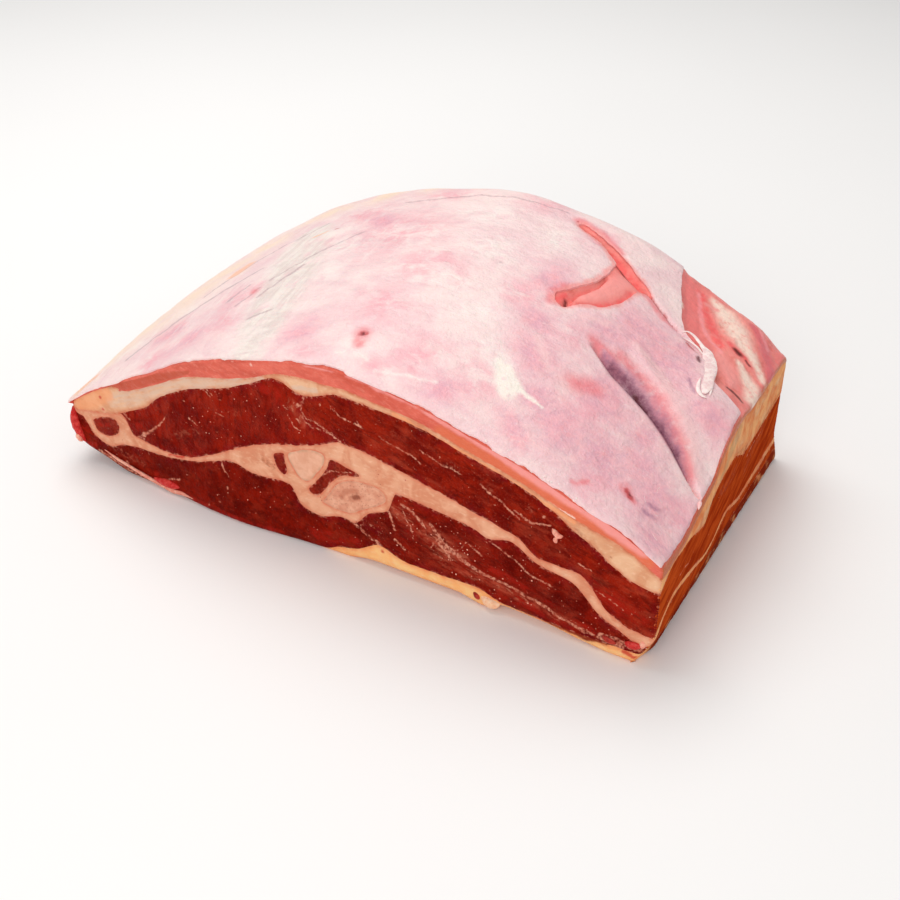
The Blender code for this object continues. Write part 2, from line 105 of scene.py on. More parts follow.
# %% [markdown]
# A place in the meat is given by u, its X at the front cut, v, its share of the depth, and a
# height z. The layers are drawn as lines across the front cut and carried back, as the solids
# were. The lines are written again here because they are needed at every point of a fine mesh,
# and a smooth curve gives that where facets can't. A few of them run up to 2.5 mm beside the
# solids' own near the right end, where a closer look at the meat moved them.
# %% Lines across the front cut
HALF_LENGTH = solid_high.x
DEPTH = 0.148
FRONT_Y = solid_high.y - DEPTH


def smooth_line(text, scale=(MM, MM)):
    """A smooth line through written points of place and value that never overshoots them."""
    places, values = (np.array(path(text)) * scale).T
    rises = np.diff(values) / np.diff(places)
    before, after = rises[:-1], rises[1:]
    same_way = before * after > 0
    middle = np.zeros(len(before))
    middle[same_way] = (2 * before * after)[same_way] / (before + after)[same_way]
    slopes = np.concatenate([rises[:1], middle, rises[-1:]])

    def value_at(where):
        where = np.clip(where, places[0], places[-1])
        i = np.clip(np.searchsorted(places, where) - 1, 0, len(places) - 2)
        span = places[i + 1] - places[i]
        t = (where - places[i]) / span
        keep = (1 + 2 * t) * (1 - t) ** 2
        bend = t * (1 - t) ** 2 * slopes[i] - t * t * (1 - t) * slopes[i + 1]
        return keep * values[i] + (1 - keep) * values[i + 1] + bend * span

    return value_at


crown_front = smooth_line("""
    -133 27, -117 38, -103 45.5, -84 55, -65 65.5, -47 72, -30 77.5, -9 82, 8 83.5, 22 82, 41 79,
    61 73.5, 81 68, 101 60.5, 116 55.5, 133 46""")
crown_back = smooth_line("""
    -133 43, -110 59.5, -85 73.5, -58 85, -30 92.5, 7 98, 35 94.5, 62 88.5, 84 79, 103 69.5,
    121 61.5, 133 54""")
right_rim = smooth_line("""
    -72 46, -51 43, -33 46, -20 48, -10 55, 2 59, 12 59.5, 26 56.5, 45 56, 76 53.5""")
tip_lift = smooth_line("-133 14, -128 8, -115 4, -100 0, 133 0")
front_lift = smooth_line("8 0, 20 2, 55 2, 66 0, 75 3.5, 90 3, 105 1, 118 0")
sheet_depth = smooth_line("""
    -133 1.2, -105 1.5, -97 5.8, -65 7, -35 9.2, -20 6.8, 8 8, 45 7.5, 100 7.5, 120 6.8, 133 6""")
cap_depth = smooth_line("""
    -133 3, -117 11.5, -105 15, -90 15.5, -78 12.5, -50 13, -35 11.8, -22 8.8, -8 14.5, 6 11.5,
    20 10.4, 50 9.4, 75 9.4, 92 10.5, 105 13.5, 118 14.8, 133 12""")
seam_top_front = smooth_line("""
    -103 29, -96 21.5, -80 19.5, -67 21, -50 29, -32 38.5, -4 47.5, 7 52, 31 49, 63 41.5, 79 37.5,
    89 31.5, 103 31, 115 20.5, 124 16, 133 15.5""")
seam_bottom_front = smooth_line("""
    -133 22.5, -125 22.5, -119 14.5, -112 11.5, -100 15.5, -82 16.8, -62 21, -45 26.2, -35 24.5,
    -18 25.5, -12 17.5, -4 15.8, 6 18.5, 11 17.8, 18.5 24.8, 26.5 29, 30.5 38, 42 37, 62 34.5,
    68 32.5, 76 34.5, 88 28.7, 100 26.5, 112 17.4, 120 16, 126 13, 133 9""")
floor_fat_front = smooth_line("""
    -6 1.4, 12 5.5, 22.5 11.2, 36 7.5, 64 8, 75 5.2, 90 4.5, 110 4.5, 133 5.2""")
right_cap = smooth_line("-72 34, -60 38.5, -43 37, -24 31.5, -16 38, 6 41, 23 34, 76 32")
right_seam = smooth_line("-72 11.8, -63 19, -55 21.5, -37 18, -14 12, 6 16, 26 11, 76 10")
print("the crown is", round(float(crown_front(0)) / MM, 1), "mm high in the middle of the front")

# %% [markdown]
# A saw leaves flat faces, but nothing in meat is straight. Lumpy noise is added wherever a line
# or a face would look ruled. It depends on the place alone, so two layers that meet get the same
# wobble and stay flush.
# %% Noise and soft steps
HASH = np.array([73856093, 19349663, 83492791], np.int64)
HASH_MIX = 668265263
HASH_SHIFT = 13
HASH_RANGE = 0xFFFF
SEED_SHIFT = 31.7


def lumps(points, size, seed):
    """Smooth noise from -1 to 1 at points in space, with lumps about as wide as size."""
    where = np.atleast_2d(points) / size + seed * SEED_SHIFT
    cell = np.floor(where).astype(np.int64)
    part = where - cell
    soft = part * part * (3 - 2 * part)
    total = np.zeros(len(where))
    for corner in itertools.product((0, 1), repeat=3):
        key = ((cell + corner) * HASH).sum(axis=1)
        key = (key ^ (key >> HASH_SHIFT)) * HASH_MIX
        value = ((key >> HASH_SHIFT) & HASH_RANGE) / HASH_RANGE * 2 - 1
        weight = np.where(np.array(corner) == 1, soft, 1 - soft).prod(axis=1)
        total += weight * value
    return total


def rough_lumps(points, size, seed, finer=2.7):
    """Lumps with smaller ones on them."""
    small = lumps(points, size / finer, seed + 1) + 0.5 * lumps(points, size / finer**2, seed + 2)
    return (lumps(points, size, seed) + 0.5 * small) / 1.5


def ramp(value, start, stop):
    """0 before start, 1 after stop, with a soft rise between."""
    t = np.clip((value - start) / (stop - start), 0, 1)
    return t * t * (3 - 2 * t)


print("noise in the middle of the joint:", round(float(lumps((0, 0, 0.05), 0.01, 1)[0]), 2))

# %% [markdown]
# The top is the front line carried over to the back line, with a rim of its own at the right. The
# layers hang below it by their depths or stand above the underside at the same share of the
# joint's height, and each is held a little apart from the next, so that none crosses another.
# %% Heights of the layers
DOME_RISE = 2.8
RIGHT_RIM_REACH, RIGHT_REACH = 0.045, 0.028
RIM_RADIUS, RIM_DROP, LEFT_RIM_START = 0.009, 0.005, 0.15
TIP_LIFT_LOST, FRONT_LIFT_DEPTH = 0.4, 0.016
RIGHT_SHEET, RIGHT_SEAM_THICKNESS = 0.004, 0.002
CORNER_SHEET_EXTRA, CORNER_SHEET_END = 0.0022, 0.12
CORNER_SEAM_EXTRA, CORNER_SEAM_END = 0.003, 0.06
UPPER_START, UPPER_TAPER = -0.103, 0.007
FLOOR_FAT_START, FLOOR_TAPER = -0.006, 0.010
LEAST_THICKNESS = 0.0002
FINE_WOBBLE = 0.55


def near_right(u, reach):
    """0 until reach before the right cut, and 1 at it."""
    return ramp(u, HALF_LENGTH - reach, HALF_LENGTH)


def dome(u, v):
    """Height of the top before its right edge and its rims are shaped."""
    return crown_front(u) + (crown_back(u) - crown_front(u)) * (1 - (1 - v) ** DOME_RISE)


def edge_round(distance):
    """The share of the rim's drop at a distance inside the rim: a quarter of a circle."""
    s = np.clip(distance / RIM_RADIUS, 0, 1)
    return 1 - np.sqrt(1 - (1 - s) ** 2)


def crown(u, v):
    """Height of the top."""
    to_rim = right_rim(FRONT_Y + DEPTH * v) - dome(HALF_LENGTH, v)
    z = dome(u, v) + to_rim * near_right(u, RIGHT_RIM_REACH)
    left = edge_round(u + HALF_LENGTH) * ramp(v, 0.0, LEFT_RIM_START)
    return z - RIM_DROP * np.maximum(edge_round(DEPTH * (1 - v)), left)


def under(u, v):
    """Height of the underside."""
    near_front = 1 - ramp(DEPTH * v, 0.0, FRONT_LIFT_DEPTH)
    return tip_lift(u) * (1 - TIP_LIFT_LOST * v) + front_lift(u) * near_front


def ragged(u, v, seed, amount=0.0005, size=0.011):
    """A small wobble of a layer's edge."""
    u, v = np.broadcast_arrays(np.asarray(u, float), np.asarray(v, float))
    places = np.stack([u.ravel(), (DEPTH * v).ravel(), np.zeros(u.size)], axis=1)
    wobble = rough_lumps(places, size, seed) + FINE_WOBBLE * rough_lumps(places, size / 5, seed + 50)
    return amount * wobble.reshape(u.shape)


def carried(front_line, u, v):
    """A front line carried back at the same share of the joint's height."""
    share = (front_line(u) - under(u, 0)) / (crown(u, 0) - under(u, 0))
    return under(u, v) + share * (crown(u, v) - under(u, v))


def towards_right(u, front_value, right_value):
    """Moves from the front cut's line to the right cut's line near that side."""
    return front_value + (right_value - front_value) * near_right(u, RIGHT_REACH)


def right_seam_edge(v, side):
    """Height of the seam's upper (1) or lower (-1) edge on the right cut."""
    thickness = RIGHT_SEAM_THICKNESS + CORNER_SEAM_EXTRA * (1 - ramp(v, 0.0, CORNER_SEAM_END))
    return right_seam(FRONT_Y + DEPTH * v) + side * thickness / 2


def sheet_bottom(u, v):
    right_depth = RIGHT_SHEET + CORNER_SHEET_EXTRA * (1 - ramp(v, 0.0, CORNER_SHEET_END))
    depth = towards_right(u, sheet_depth(u), right_depth)
    return crown(u, v) - depth - ragged(u, v, 11, amount=np.minimum(0.0004, depth / 8))


def cap_bottom(u, v):
    z = towards_right(u, crown(u, v) - cap_depth(u), right_cap(FRONT_Y + DEPTH * v))
    return np.minimum(z + ragged(u, v, 12), sheet_bottom(u, v) - LEAST_THICKNESS)


def seam_top(u, v):
    """Top of the fat seam, which meets the fat cap left of the upper muscles."""
    seam = towards_right(u, carried(seam_top_front, u, v), right_seam_edge(v, 1))
    seam = np.minimum(seam + ragged(u, v, 13, amount=0.0006), cap_bottom(u, v))
    open_part = ramp(u, UPPER_START, UPPER_START + UPPER_TAPER)
    return cap_bottom(u, v) + (seam - cap_bottom(u, v)) * open_part


def seam_bottom(u, v):
    seam = towards_right(u, carried(seam_bottom_front, u, v), right_seam_edge(v, -1))
    return np.minimum(seam + ragged(u, v, 14, amount=0.0004), seam_top(u, v) - LEAST_THICKNESS)


def floor_fat_top(u, v):
    """Top of the floor fat, which thins out to nothing at its left end."""
    fat = carried(floor_fat_front, u, v) + ragged(u, v, 15)
    open_part = ramp(u, FLOOR_FAT_START, FLOOR_FAT_START + FLOOR_TAPER)
    return under(u, v) + np.maximum(fat - under(u, v), LEAST_THICKNESS) * open_part


print("the top is highest at", round(float(crown(0.007, 0.9)) / MM, 1), "mm")

# %% [markdown]
# One function turns (u, v, z) into a point of the joint. It leans the right cut, undercuts its
# foot, swells the lower muscle out of the front cut, and wears every saw-cut edge soft. Every
# layer goes through it, which is what keeps the layers together.
# %% From the meat's own places to points
RIGHT_LEAN, RIGHT_UNDERCUT, UNDERCUT_HEIGHT = 0.0055, 0.0032, 0.015
CORNER_UNDERCUT, CORNER_UNDERCUT_DEPTH = 0.003, 0.012
LEFT_CORNER, LEFT_CORNER_START, LEFT_CORNER_REACH = 0.010, 0.85, 0.04
SWELL, SWELL_X, SWELL_WIDTH, SWELL_HEIGHT, SWELL_END = 0.004, -0.045, 0.032, 0.030, 0.2
DRIFT = 0.010
EDGE_RADIUS = 0.0022
TIP_RADIUS = 0.008
CORNER_SHARE = 0.45
WORN_DEPTH = 0.006
LEAST_DROP, MOST_DROP = 0.00025, 0.00065


def inset_at(u, v, z):
    """How far the right cut stands in from the end of the joint."""
    above_foot = ramp(z, 0.0, UNDERCUT_HEIGHT)
    corner = 1 - ramp(DEPTH * v, 0.0, CORNER_UNDERCUT_DEPTH)
    undercut = RIGHT_UNDERCUT + CORNER_UNDERCUT * corner
    inset = undercut + (RIGHT_LEAN * v - undercut) * above_foot
    return inset * near_right(u, RIGHT_REACH)


def worn(distance, radius=EDGE_RADIUS):
    """How far a face draws back near an edge that is worn soft."""
    return CORNER_SHARE * radius * (1 - np.clip(distance / radius, 0, 1)) ** 2


def shaped(u, v, z):
    """The points of the joint at u along the front, share v of the depth and height z."""
    low, high = under(u, v), crown(u, v)
    share = np.clip((z - low) / np.maximum(high - low, LEAST_THICKNESS), 0, 1)
    x = u + DRIFT * v * (1 - (u / HALF_LENGTH) ** 2) * 4 * share * (1 - share)
    x = x - inset_at(u, v, z)
    near_left = ramp(-u, HALF_LENGTH - LEFT_CORNER_REACH, HALF_LENGTH)
    x += LEFT_CORNER * ramp(v, LEFT_CORNER_START, 1.0) * near_left
    across = np.exp(-(((u - SWELL_X) / SWELL_WIDTH) ** 2))
    hump = across * (1 - ramp(z, 0.0, SWELL_HEIGHT)) * (1 - ramp(v, 0.0, SWELL_END))
    points = np.stack([x, FRONT_Y + DEPTH * v - SWELL * hump, z], axis=1)

    at_front, at_back, at_right, at_left = v <= 0, v >= 1, u >= HALF_LENGTH, u <= -HALF_LENGTH
    in_front, behind, beside = DEPTH * v, DEPTH * (1 - v), HALF_LENGTH - u
    from_tip = u + HALF_LENGTH
    wobble = 0.5 + 0.5 * rough_lumps(points, 0.021, 5)
    drop = LEAST_DROP + (MOST_DROP - LEAST_DROP) * wobble
    from_top, from_foot = high - z, z - low
    ends = worn(from_top) + worn(from_foot)
    points[:, 1] += at_front * (drop + ends + worn(beside) + worn(from_tip, TIP_RADIUS))
    points[:, 1] -= at_back * (drop + ends + worn(beside) + worn(from_tip))
    points[:, 0] -= at_right * (drop + ends + worn(in_front) + worn(behind))
    points[:, 0] += at_left * (drop + ends + worn(in_front, TIP_RADIUS) + worn(behind))
    rims = worn(in_front) + worn(beside) + worn(behind)
    points[:, 2] -= rims * np.clip(1 - from_top / WORN_DEPTH, 0, 1)
    return points


print("right cut leans in by", RIGHT_LEAN / MM, "mm at the back")

# %% [markdown]
# A cut face has an irregular outline, sometimes with holes for bone. Such a face is filled with
# evenly spaced points, which a constrained Delaunay triangulation joins to its outline. The
# triangles stay small and even where they are seen, however the outline runs. A grid stretched
# between two lines would be simpler, but it crowds its cells wherever a layer is thin.
# %% Points inside an outline
CUT_STEP, BACK_STEP, WALL_STEP = 0.00058, 0.0011, 0.007
ROW_SPACING = 0.87
SHAKE, SHAKE_X, SHAKE_Y = 0.06, (9e4, 7e4), (8e4, 5e4)
SAME_POINT = 1e-7


def inside(points, outline):
    """Which of the flat points lie inside a closed outline."""
    found = np.zeros(len(points), bool)
    px, py = points.T
    for (ax, ay), (bx, by) in zip(outline, np.roll(outline, -1, axis=0)):
        if ay == by:
            continue
        crosses = (ay > py) != (by > py)
        found ^= crosses & (px < (bx - ax) * (py - ay) / (by - ay) + ax)
    return found


def distance_to(points, others):
    """Distance from each point to the nearest of some others."""
    tree = kdtree.KDTree(len(others))
    for i, (x, y) in enumerate(others.tolist()):
        tree.insert((x, y, 0), i)
    tree.balance()
    return np.array([tree.find((x, y, 0))[2] for x, y in points.tolist()])


def even_points(low, high, step):
    """Points about a step apart in rows, every second row shifted by half a step."""
    across = np.arange(low[0], high[0] + step, step)
    along = np.arange(low[1], high[1] + step, step * ROW_SPACING)
    x, y = np.meshgrid(across, along)
    x[1::2] += step / 2
    sway = np.sin(x * SHAKE_X[0] + y * SHAKE_X[1])
    heave = np.sin(y * SHAKE_Y[0] - x * SHAKE_Y[1])
    shake = np.stack([sway, heave], axis=-1) * step * SHAKE
    return (np.stack([x, y], axis=-1) + shake).reshape(-1, 2)


def tidy_ring(ring):
    """A closed outline without points that coincide."""
    apart = np.linalg.norm(ring - np.roll(ring, 1, axis=0), axis=1) > SAME_POINT
    return ring[apart]


print("steps of the meshes in mm:", CUT_STEP / MM, BACK_STEP / MM, WALL_STEP / MM)

# %% [markdown]
# The outline and its holes are handed to the triangulation as links that have to stay. Points too
# close to the outline are left out, which keeps thin slivers away from it.
# %% Filling an outline
EDGE_CLEARANCE = 0.55
MERGE_DISTANCE, LEAST_AREA = 1e-5, 1e-14


def fill(ring, step, holes=(), more=None):
    """Points and triangles that fill an outline, and each point's distance to its edge."""
    rings = [tidy_ring(np.asarray(r, float)) for r in (ring, *holes)]
    edge = np.concatenate(rings)
    grid = even_points(rings[0].min(axis=0), rings[0].max(axis=0), step)
    spacing = np.full(len(grid), step)
    if more is not None:
        grid = grid[distance_to(grid, more) > step / 2]
        spacing = np.concatenate([np.full(len(grid), step), np.full(len(more), CUT_STEP)])
        grid = np.concatenate([grid, more])
    keep = inside(grid, rings[0])
    for hole in rings[1:]:
        keep &= ~inside(grid, hole)
    grid, spacing = grid[keep], spacing[keep]
    gap = distance_to(grid, edge)
    clear = gap > EDGE_CLEARANCE * np.minimum(spacing, 2 * CUT_STEP)
    points = np.concatenate([edge, grid[clear]])
    rim = np.concatenate([np.zeros(len(edge)), gap[clear]])
    links, first = [], 0
    for r in rings:
        links += [(first + i, first + (i + 1) % len(r)) for i in range(len(r))]
        first += len(r)
    flat = [Vector(p) for p in (points / MM).tolist()]
    _, _, faces, origin, _, _ = delaunay_2d_cdt(flat, links, [], 1, MERGE_DISTANCE)
    source = np.array([o[0] for o in origin])
    faces = source[np.array(faces)]
    middle = points[faces].mean(axis=1)
    solid = np.ones(len(faces), bool)
    for hole in rings[1:]:
        solid &= ~inside(middle, hole)
    faces = faces[solid]
    a, b, c = (points[faces[:, k]] for k in range(3))
    area = (b - a)[:, 0] * (c - a)[:, 1] - (b - a)[:, 1] * (c - a)[:, 0]
    faces[area < 0] = faces[area < 0][:, ::-1]
    return points, faces[np.abs(area) > LEAST_AREA], rim


square = in_mm("0 0, 10 0, 10 10, 0 10")
print("a square of 10 mm is filled with", len(fill(square, MM)[1]), "triangles")

# %% [markdown]
# A layer is a closed body: front, back and end faces in fine triangles where they are seen, and
# coarse walls inside, where it touches its neighbours. All six share the points on their common
# edges. Afterwards the cut faces are pushed out a little, most in the middle of a muscle, because
# raw muscle swells between the seams of fat that hold it.
# %% Ends of a layer
END_ROWS, SIDE_POINTS = 13, 40


def on_side(low, high, side, v, t):
    """Points (u, z) up one side of a layer."""
    u = side(t) if callable(side) else np.full(len(t), side)
    return np.stack([u, low(u, v) + t * (high(u, v) - low(u, v))], axis=1)


def end_face(low, high, side, rows, t, step):
    """The end of a layer: an open cut at one u, or a hidden wall along a split."""
    if callable(side):
        grid = [np.insert(on_side(low, high, side, v, t), 1, v, axis=1) for v in rows]
        index = np.arange(len(rows) * len(t)).reshape(len(rows), len(t))
        a, b, c, d = index[:-1, :-1], index[1:, :-1], index[1:, 1:], index[:-1, 1:]
        faces = np.concatenate([np.stack([a, b, c], -1), np.stack([a, c, d], -1)]).reshape(-1, 3)
        return np.concatenate(grid), faces, np.zeros(index.size)
    heights = [on_side(low, high, side, v, t)[:, 1] for v in (0.0, 1.0)]
    across = DEPTH * rows
    ring = np.concatenate([
        np.stack([across, low(side, rows)], 1)[:-1],
        np.stack([np.full(len(t), DEPTH), heights[1]], 1)[:-1],
        np.stack([across, high(side, rows)], 1)[::-1][:-1],
        np.stack([np.zeros(len(t)), heights[0]], 1)[::-1][:-1],
    ])
    flat, faces, rim = fill(ring, step)
    return np.stack([np.full(len(flat), side), flat[:, 0] / DEPTH, flat[:, 1]], 1), faces, rim


# %% Six faces of a layer
def layer_faces(low, high, left=-HALF_LENGTH, right=HALF_LENGTH, holes=None, more=None):
    """The six faces of a layer, as (u, v, z) points, triangles and rim distances."""
    ends = [float(side(np.array([t]))[0]) if callable(side) else side
            for side in (left, right) for t in (0.0, 1.0)]
    count = int((max(ends) - min(ends)) / CUT_STEP)
    bottoms, tops = np.linspace(ends[0], ends[2], count), np.linspace(ends[1], ends[3], count)
    t = np.linspace(0, 1, SIDE_POINTS)
    faces = []
    for v, step, turn in ((0.0, CUT_STEP, 1), (1.0, BACK_STEP, -1)):
        ring = np.concatenate([
            np.stack([bottoms, low(bottoms, v)], 1)[:-1],
            on_side(low, high, right, v, t)[:-1],
            np.stack([tops, high(tops, v)], 1)[::-1][:-1],
            on_side(low, high, left, v, t)[::-1][:-1],
        ])
        flat, triangles, rim = fill(ring, step, holes(v) if holes else ())
        points = np.stack([flat[:, 0], np.full(len(flat), v), flat[:, 1]], 1)
        faces.append((points, triangles[:, ::turn], rim))
    rows = {}
    for side, turn, step in ((left, -1, BACK_STEP), (right, 1, CUT_STEP)):
        count = END_ROWS if callable(side) else int(DEPTH / step)
        rows[turn] = np.linspace(0, 1, count)
        if callable(side) or (high(side, rows[turn]) - low(side, rows[turn])).max() > SAME_POINT:
            points, triangles, rim = end_face(low, high, side, rows[turn], t, step)
            faces.append((points, triangles[:, ::turn], rim))
    for level, along, (first, last), turn in (
        (low, bottoms, ends[0::2], -1), (high, tops, ends[1::2], 1),
    ):
        ring = np.concatenate([
            np.stack([along, np.zeros(len(along))], 1)[:-1],
            np.stack([np.full(len(rows[1]), last), DEPTH * rows[1]], 1)[:-1],
            np.stack([along, np.full(len(along), DEPTH)], 1)[::-1][:-1],
            np.stack([np.full(len(rows[-1]), first), DEPTH * rows[-1]], 1)[::-1][:-1],
        ])
        flat, triangles, rim = fill(ring, WALL_STEP, more=more if turn == 1 else None)
        v = flat[:, 1] / DEPTH
        points = np.stack([flat[:, 0], v, level(flat[:, 0], v)], 1)
        faces.append((points, triangles[:, ::turn], np.zeros(len(flat))))
    return faces


# %% Joining the faces
def joined(faces):
    """One set of points, triangles and rim distances, with the shared points made one."""
    first, points, triangles, rims = 0, [], [], []
    for face_points, face_triangles, rim in faces:
        points.append(face_points)
        triangles.append(face_triangles + first)
        rims.append(rim)
        first += len(face_points)
    points, rims = np.concatenate(points), np.concatenate(rims)
    _, kept, index = np.unique(np.round(points, 7), axis=0, return_index=True, return_inverse=True)
    triangles = index.reshape(-1)[np.concatenate(triangles)]
    a, b, c = triangles.T
    return points[kept], triangles[(a != b) & (b != c) & (a != c)], rims[kept]


# %% [markdown]
# Every piece is made by one function, so that each has a material, its marks and its place in the
# frame: the body it rides on and the solid it stands in for.
# %% Objects from points
SHARP_ANGLE = math.radians(50)


def add_object(name, points, faces, material, marks=None, replaces=()):
    """A piece with its material, its marks as attributes, and its place in the frame."""
    points = np.clip(points, np.array(solid_low), np.array(solid_high))
    mesh = bpy.data.meshes.new(name)
    mesh.from_pydata(points.tolist(), [], np.asarray(faces).tolist())
    mesh.validate()
    for mark, values in (marks or {}).items():
        attribute = mesh.attributes.new(mark, "FLOAT", "POINT")
        attribute.data.foreach_set("value", np.asarray(values, np.float32))
    mesh.materials.append(material)
    mesh.shade_smooth()
    mesh.set_sharp_from_angle(angle=SHARP_ANGLE)
    piece = bpy.data.objects.new(name, mesh)
    bpy.context.scene.collection.objects.link(piece)
    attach(piece, "root")
    if replaces:
        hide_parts(*replaces)
    print(name, len(mesh.polygons), "faces")
    return piece


def pushed_out(points, places, amount):
    """Moves the points of the cut faces out of the joint by an amount."""
    u, v = places[:, 0], places[:, 1]
    points[:, 1] += ((v >= 1).astype(float) - (v <= 0)) * amount
    points[:, 0] += ((u >= HALF_LENGTH).astype(float) - (u <= -HALF_LENGTH)) * amount
    return points


# %% [markdown]
# Marks are the small things that only this joint has: strands of fat in a muscle, a bright red
# stretch, a dull spot. Each is a line of a few points with a half width. Every point of the fine
# mesh is given its distance to those lines, and the material turns that into colour, so a mark
# follows the surface and stays sharp in any view. The lines are bent by noise on the way.
# %% Marks along lines
MARK_WARP, MARK_LUMPS, MARK_SEED = 0.0007, 0.004, 21
MARK_SOFT = (0.55, 1.25)
FAR_AWAY = 1e3
ALONG_FRONT, ALONG_RIGHT, ALONG_TOP = (0, 2), (1, 2), (0, 1)


def line_distance(points, line):
    """Distance from flat points to a line of (place, place, half width), in half widths."""
    best = np.full(len(points), FAR_AWAY)
    line = list(line)
    for start, stop in zip(line, line[1:] if len(line) > 1 else line):
        start, stop = np.array(start) * MM, np.array(stop) * MM
        along = stop[:2] - start[:2]
        length = along @ along
        t = np.zeros(len(points))
        if length > 0:
            t = np.clip((points - start[:2]) @ along / length, 0, 1)
        apart = np.linalg.norm(points - start[:2] - t[:, None] * along, axis=1)
        best = np.minimum(best, apart / (start[2] + t * (stop[2] - start[2])))
    return best


def bent_by_noise(points, amount, size, seed):
    """Points that are shifted by noise in all three directions."""
    return points + amount * np.stack([rough_lumps(points, size, seed + k) for k in range(3)], 1)


def marked(points, where, plane, lines, warp=MARK_WARP, soft=MARK_SOFT):
    """1 on the lines and 0 away from them, only where the points are on that face."""
    mask = np.zeros(len(points))
    if not where.any():
        return mask
    chosen = points[where]
    flat = bent_by_noise(chosen, warp, MARK_LUMPS, MARK_SEED)[:, plane]
    found = np.zeros(len(flat))
    for line in lines:
        found = np.maximum(found, 1 - ramp(line_distance(flat, line), *soft))
    mask[where] = found
    return mask


def add_marks(marks, table, places, points):
    """Adds a table of marks, each named by its cut and its kind, to those of a piece."""
    at_front, at_right = places[:, 1] <= 0, places[:, 0] >= HALF_LENGTH
    cuts = {"front": (at_front, ALONG_FRONT), "right": (at_right, ALONG_RIGHT)}
    for label, lines in table.items():
        cut, mark = label.split()
        found = marked(points, *cuts[cut], paths(lines))
        marks[mark] = np.maximum(marks.get(mark, 0), found)


print("marks are bent by up to", MARK_WARP / MM, "mm")

# %% [markdown]
# Materials are built from a few steps, wired together by small helpers: noise of a given size, a
# soft threshold, a tint laid over the colours below it. Sizes are in metres on Object coordinates,
# so a grain has the same real size on every piece and doesn't slide.
# %% Colours and nodes
GAMMA_KNEE, GAMMA_SCALE, GAMMA_POWER, GAMMA_SHIFT = 0.04045, 12.92, 2.4, 0.055


def seen(red, green, blue):
    """A colour as a screen shows it, from 0 to 255, made linear."""
    parts = np.array([red, green, blue]) / 255
    bright = ((parts + GAMMA_SHIFT) / (1 + GAMMA_SHIFT)) ** GAMMA_POWER
    return (*np.where(parts <= GAMMA_KNEE, parts / GAMMA_SCALE, bright).tolist(), 1.0)


def is_socket(value):
    return isinstance(value, bpy.types.NodeSocket)


def set_inputs(node, inputs):
    """Links a node's inputs to sockets, or sets them to constants."""
    for name, value in inputs.items():
        if is_socket(value):
            node.id_data.links.new(value, node.inputs[name])
        else:
            node.inputs[name].default_value = value


def add_node(tree, kind, inputs, **settings):
    """The outputs of a new node with these inputs and settings."""
    node = tree.nodes.new(kind)
    for setting, value in settings.items():
        setattr(node, setting, value)
    set_inputs(node, inputs)
    return node.outputs


print("a middle grey is", round(seen(128, 128, 128)[0], 3), "in linear light")

# %% A finish
SCATTER_REACH = (0.0022, 0.0009, 0.0006)


